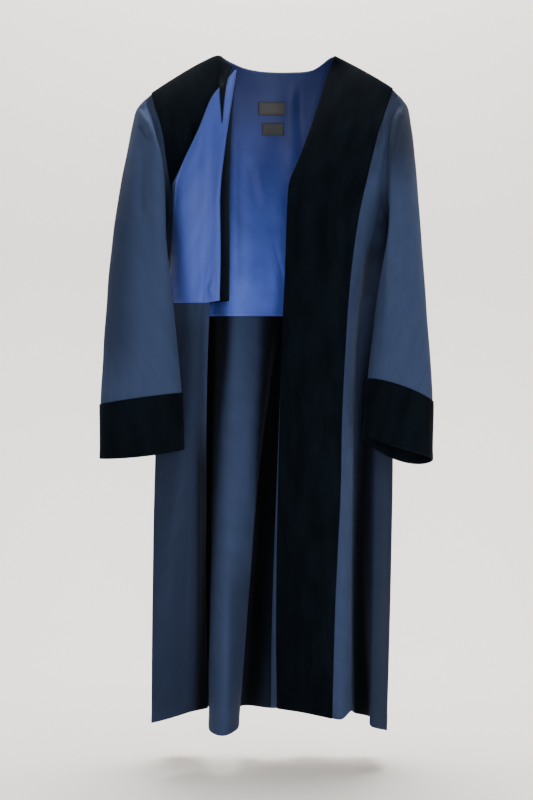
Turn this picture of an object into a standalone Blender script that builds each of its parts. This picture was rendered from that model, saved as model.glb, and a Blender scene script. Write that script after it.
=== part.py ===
import bisect
import math

import bpy
from mathutils import Vector

for item in list(bpy.data.objects):
    bpy.data.objects.remove(item, do_unlink=True)

# Cloth thicknesses and the gap between plies, metres
WOOL = 0.0018
VELVET = 0.0018
SATIN = 0.0010
LABEL = 0.0010
GAP = 0.0005

# The tables give each point as it is seen from the front, in millimetres:
# across from the middle (plus is the wearer's left), down from the shoulder's neck point,
# and depth behind the shoulder line (minus is towards the chest).
MM = 0.001
VIEW_DISTANCE = 3.1
VIEW_ACROSS = -0.0211
VIEW_DOWN = 0.6605

# Levels, in seen millimetres down
FRONT_LINING_HEM = 473.0
BACK_LINING_HEM = 499.0

# Rows of every panel: to the underarm, on to the lining's hem, and on to the robe's hem
ARMHOLE_ROWS = 8
LINING_ROWS = 3
SKIRT_ROWS = 9
UNDERARM = 345.6
# Columns whose top starts below this level get their underarm row at a share of their height
LOW_TOP = 150.0
LOW_TOP_SHARE = 0.55
TOP_EDGE = 7.0
TURNED_EDGE = 10.0
SIDE_EDGE = 0.14
SHOULDER_ROLL = 7.0
SHOULDER_PULL = 0.0010
SIDE_PULL = 0.0003
LABEL_GAP = 0.0014
CALM_ROWS = 4
CALM_ROUNDS = 6

# Fold lines of the three body panels, each a row of
# name, cells to the next line, the side of the shoulder it starts on, and its
# knots (across, down, depth) from the top edge to the hem.
FRONT_LEFT_LINES = [
    ("neck_edge", 4, "front",
     [(108.5, 1.9, 0), (101.8, 21.1, -9), (93.1, 49.9, -22), (77.8, 99.8, -44), (60.5, 149.8, -62),
      (41.3, 199.7, -76), (24, 241.9, -84), (19.8, 286.1, -84), (16.3, 391.7, -76),
      (11.5, 506.9, -64), (6.7, 660.5, -46), (2.9, 814.1, -26), (0, 967.7, -4), (-1, 1121.3, 22),
      (1, 1251.8, 46)]),
    ("band_inner", 3, "front",
     [(139.2, 17.3, 0), (131.5, 65.3, -42), (116.2, 142.1, -76), (85.4, 257.3, -98),
      (66.2, 468.5, -86), (54.7, 698.9, -70), (50.9, 967.7, -44), (50.9, 1259.5, -4)]),
    ("band_middle", 3, "front",
     [(181.4, 40.3, 0), (173.8, 80.6, -38), (154.6, 161.3, -76), (129.6, 257.3, -96),
      (106.6, 468.5, -90), (97, 698.9, -80), (91.2, 967.7, -62), (87.4, 1267.2, -32)]),
    ("band_outer", 1, "front",
     [(219.8, 64.3, 0), (212.2, 90.2, -22), (196.8, 132.5, -52), (189.1, 161.3, -64),
      (169.9, 240, -82), (155.5, 305.3, -84), (137.3, 439.7, -80), (123.8, 660.5, -72),
      (120, 833.3, -66), (110.4, 1044.5, -54), (104.6, 1271, -36)]),
    ("ridge_middle", 1, "front",
     [(222.1, 66.8, 0), (213.9, 90.2, -23), (199.9, 127.7, -48.4), (192, 163.2, -63.3),
      (176.1, 239, -80), (165.7, 299.5, -81), (145.7, 455, -73), (134.2, 679.7, -63),
      (130, 900.5, -56), (125.8, 1044.5, -49), (122.9, 1273, -37)]),
    ("front_ridge", 2, "front",
     [(224.6, 69.1, 0), (215.6, 90.2, -24), (202.6, 122.9, -46), (194.9, 165.1, -63),
      (182.4, 238.1, -78), (175.7, 295.7, -77), (169.9, 345.6, -72), (152.6, 472.3, -58),
      (143, 698.9, -46), (139.2, 967.7, -34), (139.2, 1258.6, -18)]),
    ("front_valley", 2, "front",
     [(227.5, 72, 0), (218.9, 94.1, -25), (207.9, 122.9, -45), (201.4, 165.1, -63),
      (193, 238.1, -75), (189.1, 295.7, -66), (185.3, 345.6, -48), (161.3, 472.3, -12),
      (151.7, 698.9, 14), (148.8, 967.7, 32), (150.7, 1261.4, 52)]),
    ("side_valley", 2, "front",
     [(229.4, 73.9, 0), (222.1, 96, -25), (212.2, 122.9, -42), (205.6, 165.1, -62),
      (200.3, 238.1, -72), (199.5, 295.7, -57), (199.5, 345.6, -29), (173.8, 472.3, 2),
      (164.2, 698.9, 16), (161.3, 967.7, 26), (167, 1121.3, 32), (176.3, 1267.2, 36)]),
    ("side_crest", 2, "front",
     [(230.6, 75.1, 0), (225.2, 97.9, -23), (216, 121, -38), (209.9, 165.1, -60),
      (206, 238.1, -70), (208.3, 295.7, -49), (211.8, 345.6, -10), (196.8, 472.3, 12),
      (189.1, 698.9, 4), (185.3, 967.7, -16), (182.2, 1140.5, -26), (179.9, 1286.4, -32)]),
    ("side", 0, "front",
     [(231.7, 76.2, 0), (228.7, 97.9, -20), (219.8, 119, -34), (214.1, 165.1, -57),
      (210.6, 238.1, -67), (214.1, 295.7, -42), (221.8, 345.6, 6), (220.4, 351.4, 9),
      (215.2, 420.5, 30), (216, 526.1, 38), (218.9, 660.5, 32), (221, 768, 24), (217.9, 967.7, 16),
      (213.3, 1159.7, 8), (209.3, 1294.1, 0)]),
]
BACK_LINES = [
    ("side_left", 2, "back",
     [(231.7, 76.2, 0), (231.4, 97.9, 20), (224.6, 132.5, 50), (218.9, 180.5, 72),
      (217.5, 238.1, 74), (219.1, 295.7, 48), (221.8, 345.6, 6), (220.4, 351.4, 9),
      (215.2, 420.5, 30), (216, 526.1, 38), (218.9, 660.5, 32), (221, 768, 24), (217.9, 967.7, 16),
      (213.3, 1159.7, 8), (209.3, 1294.1, 0)]),
    ("back_side_left", 2, "back",
     [(221.8, 66.2, 0), (219.8, 96, 28), (212.2, 142.1, 66), (207.2, 199.7, 86),
      (205.6, 276.5, 94), (210.2, 345.6, 84), (212.2, 472.3, 90), (212.2, 756.5, 88),
      (210.2, 1006.1, 80), (206.4, 1261.4, 66)]),
    ("back_tip_left", 2, "back",
     [(200.6, 51.8, 0), (198.7, 84.5, 34), (193, 151.7, 74), (185.3, 276.5, 102),
      (177.6, 472.3, 112), (171.8, 756.5, 120), (166.1, 967.7, 126), (162.2, 1242.2, 132)]),
    ("back_shoulder_left", 3, "back",
     [(162.2, 29.8, 0), (158.4, 69.1, 40), (152.6, 142.1, 76), (143, 276.5, 100),
      (133.4, 506.9, 108), (127.7, 756.5, 110), (123.8, 967.7, 110), (120, 1242.2, 110)]),
    ("back_collar_left", 1, "back",
     [(119, 7.3, 0), (117.1, 36.5, 38), (114.2, 107.5, 74), (107.5, 259.2, 98), (99.8, 506.9, 108),
      (94.1, 756.5, 117), (90.2, 967.7, 123), (86.4, 1242.2, 129)]),
    ("back_neck_left", 2, "back",
     [(108.5, 1.9, 0), (106.6, 30.7, 36), (102.7, 103.7, 74), (97, 257.3, 98), (89.3, 506.9, 108),
      (83.5, 756.5, 120), (79.7, 967.7, 128), (75.8, 1242.2, 136)]),
    ("back_wave", 2, "none",
     [(66.2, 28, 42), (64.3, 84.5, 66), (58.6, 257.3, 96), (50.9, 506.9, 108), (43.2, 756.5, 120),
      (37.4, 967.7, 126), (31.7, 1243, 130)]),
    ("back_strip", 2, "none",
     [(25.9, 31.9, 54), (24, 103.7, 70), (24, 257.3, 86), (28.8, 503, 94), (16.3, 756.5, 100),
      (6.7, 967.7, 100), (-4.8, 1251.1, 98)]),
    ("column_right_foot", 3, "none",
     [(-8.6, 31.9, 58), (-4.8, 103.7, 72), (2.9, 257.3, 78), (12.5, 410.9, 82), (11.7, 503, 88),
      (1, 564.5, 98), (-22.1, 718.1, 112), (-48, 967.7, 126), (-69.1, 1247, 130)]),
    ("column_right_edge", 3, "none",
     [(-39.4, 29.2, 54), (-35.5, 103.7, 68), (-24, 257.3, 68), (-12.5, 410.9, 66),
      (-12.5, 497.3, 60), (-22.1, 583.7, 48), (-32.6, 700.8, 38), (-53.8, 963.8, 24),
      (-67.2, 1153.9, 18), (-78, 1291.8, 16)]),
    ("column_crest", 3, "none",
     [(-66.2, 23, 42), (-64.3, 94.1, 62), (-60.5, 257.3, 54), (-58.6, 468.5, 40),
      (-70.1, 700.8, 18), (-89.3, 967.7, -6), (-104.6, 1304.6, -24)]),
    ("column_left_edge", 3, "none",
     [(-89.3, 12.7, 24), (-86.4, 65.3, 52), (-86.2, 257.3, 58), (-91.2, 430.1, 46),
      (-96, 574.1, 34), (-108.5, 679.7, 26), (-121, 963.8, 10), (-127.7, 1159.7, 4),
      (-128.4, 1296, 4)]),
    ("column_left_foot", 3, "back",
     [(-111.4, 1.9, 0), (-108.5, 42.2, 34), (-110.4, 103.7, 66), (-114.2, 257.3, 94),
      (-121.9, 468.5, 100), (-120, 574.1, 104), (-123.8, 718.1, 108), (-126.7, 963.8, 104),
      (-128.6, 1249, 98)]),
    ("back_collar_right", 1, "back",
     [(-121, 6.9, 0), (-119, 46.1, 36), (-121, 109.4, 69), (-123.8, 259.2, 96),
      (-128.6, 478.1, 106), (-128.6, 756.5, 116), (-133.4, 963.8, 114), (-135.4, 1247, 110)]),
    ("back_shoulder_right", 2, "back",
     [(-168, 27.8, 0), (-166.1, 65.3, 40), (-162.2, 142.1, 78), (-154.6, 276.5, 102),
      (-150.7, 506.9, 116), (-150.7, 756.5, 124), (-152.6, 967.7, 130), (-154.6, 1242.2, 134)]),
    ("back_tip_right", 2, "back",
     [(-212.2, 54.7, 0), (-210.2, 88.3, 34), (-202.6, 157.4, 74), (-193, 276.5, 102),
      (-183.4, 472.3, 116), (-179.5, 756.5, 126), (-179.5, 967.7, 132), (-181.4, 1242.2, 136)]),
    ("back_side_right", 2, "back",
     [(-241, 73.7, 0), (-239, 103.7, 28), (-227.5, 149.8, 66), (-219.8, 203.5, 86),
      (-215, 276.5, 94), (-217, 345.6, 86), (-217, 472.3, 96), (-217.9, 756.5, 104),
      (-218.9, 1006.1, 110), (-218.9, 1244.2, 120)]),
    ("side_right", 0, "back",
     [(-252.5, 84.1, 0), (-251.3, 105.6, 20), (-242.9, 140.2, 50), (-233.3, 188.2, 72),
      (-228.3, 245.8, 74), (-226.4, 299.5, 48), (-225.6, 345.6, 6), (-225.6, 351.4, 8),
      (-224.6, 420.5, 34), (-225.6, 526.1, 50), (-228.5, 756.5, 60), (-230.4, 1006.1, 74),
      (-229.4, 1244.2, 86)]),
]
FRONT_RIGHT_LINES = [
    ("side", 2, "front",
     [(-252.5, 84.1, 0), (-247.9, 101.8, -18), (-240.2, 121, -32), (-230.4, 161.3, -50),
      (-222.7, 209.3, -60), (-217.9, 257.3, -56), (-219.8, 305.3, -34), (-225.6, 345.6, 6),
      (-225.6, 351.4, 8), (-224.6, 420.5, 34), (-225.6, 526.1, 50), (-228.5, 756.5, 60),
      (-230.4, 1006.1, 74), (-229.4, 1244.2, 86)]),
    ("side_crest", 2, "front",
     [(-249.4, 81.2, 0), (-243.6, 101.8, -22), (-235.2, 122.9, -38), (-225.6, 159.4, -53),
      (-218.7, 203.5, -61), (-212.2, 253.4, -58), (-210.2, 299.5, -34), (-212.2, 345.6, -2),
      (-214.1, 420.5, 28), (-216, 526.1, 44), (-219.8, 756.5, 56), (-221.8, 1006.1, 70),
      (-220.8, 1247, 82)]),
    ("front_tip", 2, "front",
     [(-245.2, 77.6, 0), (-238.7, 99.8, -26), (-230.6, 122.9, -42), (-221.8, 157.4, -55),
      (-216, 199.7, -62), (-209.5, 249.6, -60), (-201.6, 301.4, -39), (-194.9, 345.6, -16),
      (-194.9, 420.5, 14), (-195.8, 526.1, 36), (-198.7, 756.5, 52), (-199.7, 1006.1, 68),
      (-196.8, 1248, 82)]),
    ("band_outer", 3, "front",
     [(-240.4, 73.3, 0), (-233.3, 99.8, -30), (-225.6, 122.9, -44), (-217.9, 157.4, -57),
      (-212.2, 199.7, -63), (-204.5, 247.7, -62), (-191, 301.4, -46), (-177.6, 353.3, -26),
      (-169.9, 420.5, -4), (-168, 526.1, 22), (-169.9, 756.5, 48), (-169.9, 1006.1, 68),
      (-166.1, 1249, 84)]),
    ("band_middle", 2, "front",
     [(-194.9, 43.4, 0), (-191, 80.6, -40), (-183.4, 161.3, -66), (-171.8, 266.9, -64),
      (-158.4, 372.5, -32), (-157.4, 526.1, 14), (-162.2, 756.5, 46), (-162.2, 1006.1, 71),
      (-156.5, 1249, 88)]),
    ("band_inner", 2, "front",
     [(-145, 14.6, 0), (-145, 57.6, -38), (-145, 142.1, -66), (-145, 266.9, -68),
      (-144, 372.5, -40), (-149.8, 526.1, 6), (-154.6, 756.5, 42), (-155.5, 1006.1, 70),
      (-147.8, 1249.2, 90)]),
    ("turn_back", 5, "front",
     [(-111.4, 1.9, 0), (-116.5, 42.2, -27), (-122.9, 122.9, -57), (-127.7, 257.3, -67),
      (-131.5, 372.5, -44), (-141.1, 506.9, -8), (-146.5, 660.5, 16), (-148.8, 852.5, 48),
      (-148.8, 1044.5, 72), (-141.9, 1249.5, 88)]),
    ("turn_crest", 2, "none",
     [(-98.9, 42.2, -42), (-108.5, 122.9, -69), (-116.2, 257.3, -80), (-121.9, 372.5, -62),
      (-131.1, 487.7, -34), (-136.1, 660.5, -6), (-137.3, 852.5, 24), (-137.3, 1044.5, 52),
      (-134.2, 1250.7, 72)]),
    ("flap_right", 3, "none",
     [(-125.8, 77.8, -68), (-127.7, 161.3, -90), (-128.8, 257.3, -96), (-131.5, 372.5, -79),
      (-141.1, 487.7, -48), (-147.6, 660.5, -26), (-153.8, 852.5, -14), (-163.2, 1044.5, -8),
      (-170.9, 1259.5, 2)]),
    ("flap_middle", 3, "none",
     [(-152.6, 142.1, -90), (-151.9, 257.3, -99), (-151.5, 372.5, -82), (-156.5, 487.7, -54),
      (-164.2, 660.5, -36), (-173.8, 852.5, -28), (-183.4, 1044.5, -22), (-192, 1266.4, -18)]),
    ("flap_left", 3, "none",
     [(-177.6, 194.9, -92), (-183.4, 266.9, -95), (-179.5, 353.3, -80), (-175.7, 474.2, -48),
      (-185.3, 660.5, -28), (-198.7, 852.5, -32), (-208.3, 1044.5, -36), (-214.1, 1273, -40)]),
    ("flap_edge", 0, "none",
     [(-200.6, 245.8, -90), (-201.8, 286.1, -70), (-203.7, 343.7, -26), (-208.3, 395.5, 0),
      (-217, 468.5, 14), (-225.6, 564.5, 18), (-231.4, 660.5, 14), (-234.4, 768, 2),
      (-237.5, 890.9, -20), (-239.8, 1082.9, -44), (-240.4, 1279.7, -60)]),
]

# Sleeve sections from the armhole down; the last two rows are the cuff's top and bottom.
# Columns: outer, front, inner and back point of the section, each (across, down, depth).
SLEEVE_RIGHT_RINGS = [
    ((-266.3, 98.9, -2), (-219.8, 215, -79), (-228.3, 364.8, -2), (-241, 199.7, 70)),
    ((-275.9, 133.4, -8), (-225.6, 261.1, -92), (-221.8, 387.8, -34), (-258.2, 249.6, 46)),
    ((-290.9, 199.7, -18), (-235.2, 314.9, -100), (-208.3, 426.2, -48), (-256.3, 303.4, 34)),
    ((-307.2, 286.1, -30), (-246.7, 380.2, -102), (-201.4, 472.3, -54), (-260.2, 372.5, 12)),
    ((-321, 401.3, -44), (-254.4, 460.8, -104), (-196, 522.2, -58), (-262.1, 453.1, -6)),
    ((-331.6, 535.7, -56), (-260.2, 554.9, -106), (-189.9, 579.8, -62), (-262.1, 551, -18)),
    ((-338.9, 664.3, -64), (-262.1, 651.8, -108), (-184.1, 643.2, -66), (-262.1, 652.8, -24)),
    ((-338.3, 772.4, -68), (-262.1, 768.6, -112), (-181.4, 755.1, -69), (-262.1, 766.7, -26)),
]
SLEEVE_LEFT_RINGS = [
    ((244, 91, -2), (214.1, 215, -79), (229.4, 364.8, -6), (235.2, 199.7, 70)),
    ((253.2, 133.4, -8), (217.9, 261.1, -92), (223.7, 389.8, -40), (248.6, 249.6, 46)),
    ((262.5, 199.7, -18), (223.7, 314.9, -100), (200.6, 426.2, -48), (241, 303.4, 34)),
    ((270.9, 286.1, -30), (228.5, 380.2, -102), (191, 472.3, -54), (239, 372.5, 12)),
    ((280.1, 401.3, -44), (231.4, 460.8, -104), (184.9, 522.2, -58), (237.1, 453.1, -6)),
    ((289.3, 535.7, -56), (234.2, 554.9, -106), (178.8, 574.1, -62), (235.2, 551, -18)),
    ((297.4, 659.5, -64), (235.2, 627.8, -108), (174.3, 618.2, -66), (235.2, 641.3, -24)),
    ((295.3, 774.3, -68), (231.4, 750.7, -112), (166.1, 731.5, -69), (233.3, 776.4, -26)),
]

# The turned-back lining hangs free of its fold: its own fold lines, behind to front.
LOOSE_LINING_LINES = [
    ("tail", 3,
     [(-121.9, 74.9, 15), (-129.6, 257.3, -30), (-135.4, 372.5, -8), (-139.2, 475.2, 16)]),
    ("shade_edge", 3,
     [(-91.2, 53.8, 2), (-93.1, 122.9, -18), (-93.9, 257.3, -26), (-93.9, 372.5, -14),
      (-95, 470.4, 2)]),
    ("crest", 3,
     [(-78.9, 26.9, -26), (-85.1, 69.1, -54), (-90.4, 107.5, -74), (-98.9, 161.3, -92),
      (-107.5, 234.2, -99), (-110.4, 276.5, -97), (-109.2, 372.5, -84), (-111.4, 469.4, -60)]),
]

# Labels on the back lining: left, right, top and bottom in seen millimetres
LABELS = [
    ("label_upper", -36.9, 14.8, 88.3, 113.9),
    ("label_lower", -29.8, 12.5, 128.6, 152.6),
]


def place(across, down, depth):
    spread = 1.0 + depth * MM / VIEW_DISTANCE
    x = VIEW_ACROSS + (across * MM - VIEW_ACROSS) * spread
    z = -(VIEW_DOWN + (down * MM - VIEW_DOWN) * spread)
    return Vector((x, depth * MM, z))


def seen(point):
    spread = 1.0 + point.y / VIEW_DISTANCE
    across = VIEW_ACROSS + (point.x - VIEW_ACROSS) / spread
    down = VIEW_DOWN + (-point.z - VIEW_DOWN) / spread
    return across / MM, down / MM


def blend(a, b, c, d, t):
    # Centripetal spline through b and c
    t0 = 0.0
    t1 = t0 + max((b - a).length, 1e-7) ** 0.5
    t2 = t1 + max((c - b).length, 1e-7) ** 0.5
    t3 = t2 + max((d - c).length, 1e-7) ** 0.5
    s = t1 + (t2 - t1) * t
    ab = a * ((t1 - s) / (t1 - t0)) + b * ((s - t0) / (t1 - t0))
    bc = b * ((t2 - s) / (t2 - t1)) + c * ((s - t1) / (t2 - t1))
    cd = c * ((t3 - s) / (t3 - t2)) + d * ((s - t2) / (t3 - t2))
    abc = ab * ((t2 - s) / (t2 - t0)) + bc * ((s - t0) / (t2 - t0))
    bcd = bc * ((t3 - s) / (t3 - t1)) + cd * ((s - t1) / (t3 - t1))
    return abc * ((t2 - s) / (t2 - t1)) + bcd * ((s - t1) / (t2 - t1))


def pick(points, index, closed):
    count = len(points)
    if closed:
        return points[index % count]
    if index < 0:
        return points[0] * 2.0 - points[1]
    if index >= count:
        return points[-1] * 2.0 - points[-2]
    return points[index]


def spline_at(points, position, closed=False):
    last = len(points) - (0 if closed else 1)
    span = min(max(int(position), 0), last - 1)
    corners = [pick(points, span + step, closed) for step in (-1, 0, 1, 2)]
    return blend(*corners, position - span)


def even_curve(points, steps=12):
    # A line through the knots, read by its share of length
    dense = []
    for span in range(len(points) - 1):
        for step in range(steps):
            dense.append(spline_at(points, span + step / steps))
    dense.append(points[-1])
    lengths = [0.0]
    for a, b in zip(dense, dense[1:]):
        lengths.append(lengths[-1] + (b - a).length)

    def read(share):
        target = min(max(share, 0.0), 1.0) * lengths[-1]
        spot = min(max(bisect.bisect_right(lengths, target) - 1, 0), len(dense) - 2)
        part = (target - lengths[spot]) / max(lengths[spot + 1] - lengths[spot], 1e-9)
        return dense[spot].lerp(dense[spot + 1], part)

    return read


def knot_curve(points):
    # A line through the knots, read by knot number
    def read(position):
        return spline_at(points, min(max(position, 0.0), len(points) - 1.0))

    return read


class Cloth:
    def __init__(self, curves, closed=False, along_end=1.0):
        self.curves = curves
        self.closed = closed
        self.along_end = along_end

    def point(self, across, along):
        if self.closed:
            span = math.floor(across)
        else:
            span = min(max(int(across), 0), len(self.curves) - 2)
        near = []
        for step in (-1, 0, 1, 2):
            number = span + step
            if self.closed or 0 <= number < len(self.curves):
                near.append(self.curves[number % len(self.curves)](along))
            else:
                near.append(None)
        if near[0] is None:
            near[0] = near[1] * 2.0 - near[2]
        if near[3] is None:
            near[3] = near[2] * 2.0 - near[1]
        return blend(*near, across - span)

    def slopes(self, across, along):
        last = len(self.curves) - 1
        left = across - 0.03
        right = across + 0.03
        if not self.closed:
            left = max(left, 0.0)
            right = min(right, float(last))
        up = max(along - 0.005 * self.along_end, 0.0)
        low = min(along + 0.005 * self.along_end, self.along_end)
        sideways = self.point(right, along) - self.point(left, along)
        downwards = self.point(across, low) - self.point(across, up)
        return sideways.normalized(), downwards.normalized()

    def normal(self, across, along):
        sideways, downwards = self.slopes(across, along)
        return downwards.cross(sideways).normalized()

    def along_for(self, across, down):
        # Where the cloth crosses a seen level
        low, high = 0.0, self.along_end
        for _ in range(26):
            middle = 0.5 * (low + high)
            if seen(self.point(across, middle))[1] < down:
                low = middle
            else:
                high = middle
        return 0.5 * (low + high)


def roll_knots(knots, side):
    # The cloth lies level for a few millimetres on each side of the shoulder seam
    if side == "none":
        return knots
    across, down, depth = knots[0]
    sign = -1.0 if side == "front" else 1.0
    return [knots[0], (across, down + 0.9, depth + sign * SHOULDER_ROLL)] + knots[1:]


def wall(name, grid, offset, thickness, material, closed=False):
    # grid: rows of (point, normal) pairs; both skins are moved out along the normals
    rows = len(grid)
    columns = len(grid[0])
    vertices = []
    for side in (0.5, -0.5):
        for row in grid:
            for point, normal in row:
                vertices.append(point + normal * (offset + side * thickness))
    faces = []
    half = rows * columns
    spans = columns if closed else columns - 1
    for j in range(rows - 1):
        for i in range(spans):
            a = j * columns + i
            b = j * columns + (i + 1) % columns
            c = b + columns
            d = a + columns
            faces.append((a, b, c, d))
            faces.append((half + c, half + b, half + a, half + d))
    for i in range(spans):
        a = i
        b = (i + 1) % columns
        faces.append((half + a, half + b, b, a))
        a = (rows - 1) * columns + i
        b = (rows - 1) * columns + (i + 1) % columns
        faces.append((a, b, half + b, half + a))
    if not closed:
        for j in range(rows - 1):
            a = j * columns
            b = a + columns
            faces.append((a, b, half + b, half + a))
            a = j * columns + columns - 1
            b = a + columns
            faces.append((half + a, half + b, b, a))
    mesh = bpy.data.meshes.new(name)
    mesh.from_pydata([tuple(v) for v in vertices], [], faces)
    mesh.update()
    volume = 0.0
    for polygon in mesh.polygons:
        corners = [mesh.vertices[k].co for k in polygon.vertices]
        for k in range(1, len(corners) - 1):
            volume += corners[0].dot(corners[k].cross(corners[k + 1]))
    if volume < 0.0:
        mesh.flip_normals()
    for polygon in mesh.polygons:
        polygon.use_smooth = True
    mesh.materials.append(material)
    node = bpy.data.objects.new(name, mesh)
    bpy.context.scene.collection.objects.link(node)
    return node


def cloth_material(name, colour, roughness):
    material = bpy.data.materials.new(name)
    material.use_nodes = True
    shader = material.node_tree.nodes["Principled BSDF"]
    shader.inputs["Base Color"].default_value = (*colour, 1.0)
    shader.inputs["Roughness"].default_value = roughness
    return material


def positions(cells, start, end):
    # Column places between two fold lines, with each line's own number of cells
    spots = []
    for number in range(start, end):
        spots += [number + step / cells[number] for step in range(cells[number])]
    return spots + [float(end)]


def panel_grid(cloth, columns, level, first_row):
    # Rows of (point, normal) pairs: one close under the top edge, one at the underarm
    # and one along the lining's hem
    total = ARMHOLE_ROWS + LINING_ROWS + SKIRT_ROWS
    grid = [[] for _ in range(total + 1)]
    for across in columns:
        top = seen(cloth.point(across, 0.0))[1]
        hem = level(across)
        underarm = UNDERARM
        if top > LOW_TOP:
            underarm = max(UNDERARM, top + LOW_TOP_SHARE * (hem - top))
        lining_along = cloth.along_for(across, hem)
        for j, row in enumerate(grid):
            if j == 0:
                along = 0.0
            elif j <= ARMHOLE_ROWS:
                share = (j - 1) / (ARMHOLE_ROWS - 1)
                first = top + first_row(across)
                along = cloth.along_for(across, first + (underarm - first) * share)
            elif j <= ARMHOLE_ROWS + LINING_ROWS:
                share = (j - ARMHOLE_ROWS) / LINING_ROWS
                along = cloth.along_for(across, underarm + (hem - underarm) * share)
            else:
                share = (j - ARMHOLE_ROWS - LINING_ROWS) / SKIRT_ROWS
                along = lining_along + (1.0 - lining_along) * share
            row.append((cloth.point(across, along), cloth.normal(across, along)))
    return grid


def cut_grid(grid, top, bottom, left, right):
    # A patch of a panel, from whole rows and columns so that plies share their facets
    return [row[left:right + 1] for row in grid[top:bottom + 1]]


def draw_back(grid, left, right, top):
    # Move the edges that meet another piece back along the cloth
    for row in grid:
        for edge, inward, pull in ((0, 1, left), (-1, -2, right)):
            step = (row[inward][0] - row[edge][0]).normalized() * pull
            row[edge] = (row[edge][0] + step, row[edge][1])
    for i, (point, normal) in enumerate(grid[0]):
        step = (grid[1][i][0] - point).normalized() * top
        grid[0][i] = (point + step, normal)


wool = cloth_material("wool", (0.034, 0.052, 0.095), 0.75)
velvet = cloth_material("velvet", (0.004, 0.006, 0.010), 0.85)
satin = cloth_material("satin", (0.060, 0.105, 0.340), 0.35)
label_cloth = cloth_material("label_cloth", (0.010, 0.011, 0.013), 0.6)


def panel_cloth(table):
    curves = []
    for name, cells, side, knots in table:
        curves.append(even_curve([place(*knot) for knot in roll_knots(knots, side)]))
    return Cloth(curves)


def column_numbers(table):
    # Each named line's column in its panel
    numbers = {}
    count = 0
    for name, cells, side, knots in table:
        numbers[name] = count
        count += cells
    return numbers


def join_side(front, front_column, back, back_column):
    # Below the underarm both panels share the side seam's points and normals
    for j in range(ARMHOLE_ROWS, len(front)):
        a, normal_a = front[j][front_column]
        b, normal_b = back[j][back_column]
        pair = ((a + b) * 0.5, (normal_a + normal_b).normalized())
        front[j][front_column] = pair
        back[j][back_column] = pair


def join_shoulder(front_edge, back_edge):
    # The back's shoulder edge lies on the front's, point by point across
    ridge = sorted((point for point, normal in front_edge), key=lambda spot: spot.x)
    low, high = ridge[0].x, ridge[-1].x
    for i, (point, normal) in enumerate(back_edge):
        if low - 0.0005 <= point.x <= high + 0.0005 and abs(point.y) < 0.002:
            spot = 0
            while spot < len(ridge) - 2 and ridge[spot + 1].x < point.x:
                spot += 1
            a, b = ridge[spot], ridge[spot + 1]
            share = min(max((point.x - a.x) / max(b.x - a.x, 1e-9), 0.0), 1.0)
            back_edge[i] = (a.lerp(b, share), normal)


def calm_normals(grid, first, final):
    # Even out the normals where the neckline runs down the tight fold
    for _ in range(CALM_ROUNDS):
        for j in range(CALM_ROWS):
            before = [normal for point, normal in grid[j]]
            for i in range(first + 1, final):
                blended = before[i - 1] + before[i] * 2.0 + before[i + 1]
                if j > 0:
                    blended += grid[j - 1][i][1]
                grid[j][i] = (grid[j][i][0], blended.normalized())


def back_level(across):
    # The lining's hem steps down from the fronts' level to the back's past the side seams
    inside = min(across, len(BACK_LINES) - 1 - across)
    share = min(max(inside, 0.0), 1.0)
    return FRONT_LINING_HEM + (BACK_LINING_HEM - FRONT_LINING_HEM) * share


def front_level(across):
    return FRONT_LINING_HEM


def plain_first_row(across):
    return TOP_EDGE


def turned_first_row(across):
    # Deeper first cells on the turned-back part, whose neckline runs down the fold
    fold = [row[0] for row in FRONT_RIGHT_LINES].index("turn_back")
    return TOP_EDGE + TURNED_EDGE * min(max(across - fold, 0.0) * 2.0, 1.0)


tables = {"front_left": FRONT_LEFT_LINES, "back": BACK_LINES, "front_right": FRONT_RIGHT_LINES}
cloths = {name: panel_cloth(table) for name, table in tables.items()}
places = {name: column_numbers(table) for name, table in tables.items()}
panels = {}
for name, table in tables.items():
    columns = positions([row[1] for row in table], 0, len(table) - 1)
    if name == "front_left":
        columns[1] = SIDE_EDGE
    if name == "front_right":
        columns[-2] = len(table) - 1 - SIDE_EDGE
    level = back_level if name == "back" else front_level
    first_row = turned_first_row if name == "front_right" else plain_first_row
    panels[name] = panel_grid(cloths[name], columns, level, first_row)
last = {name: len(grid[0]) - 1 for name, grid in panels.items()}
calm_normals(panels["front_right"], places["front_right"]["band_inner"],
             places["front_right"]["flap_middle"])
join_side(panels["front_left"], last["front_left"], panels["back"], 0)
join_side(panels["front_right"], 0, panels["back"], last["back"])
join_shoulder(panels["front_left"][0], panels["back"][0])
join_shoulder(panels["front_right"][0][:places["front_right"]["turn_back"] + 1],
              panels["back"][0])
draw_back(panels["front_left"], 0.0, SIDE_PULL, SHOULDER_PULL)
draw_back(panels["back"], SIDE_PULL, SIDE_PULL, SHOULDER_PULL)
draw_back(panels["front_right"], SIDE_PULL, 0.0, SHOULDER_PULL)
for name, grid in panels.items():
    wall(name, grid, 0.0, WOOL, wool)

# Velvet bands on the outside of both fronts
lining_row = ARMHOLE_ROWS + LINING_ROWS
hem_row = lining_row + SKIRT_ROWS
on_wool = 0.5 * WOOL + GAP + 0.5 * VELVET
wall("band_left",
     cut_grid(panels["front_left"], 0, hem_row, 0, places["front_left"]["band_outer"]),
     on_wool, VELVET, velvet)
wall("band_right",
     cut_grid(panels["front_right"], 0, hem_row, places["front_right"]["band_outer"],
              last["front_right"]),
     on_wool, VELVET, velvet)

# Linings inside the back and the left front, open at their hems
under_wool = -(0.5 * WOOL + GAP + 0.5 * SATIN)
wall("lining_back", cut_grid(panels["back"], 1, lining_row, 1, last["back"] - 1),
     under_wool, SATIN, satin)
wall("lining_front_left",
     cut_grid(panels["front_left"], 1, lining_row, 1, places["front_left"]["side_valley"]),
     under_wool, SATIN, satin)

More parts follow.
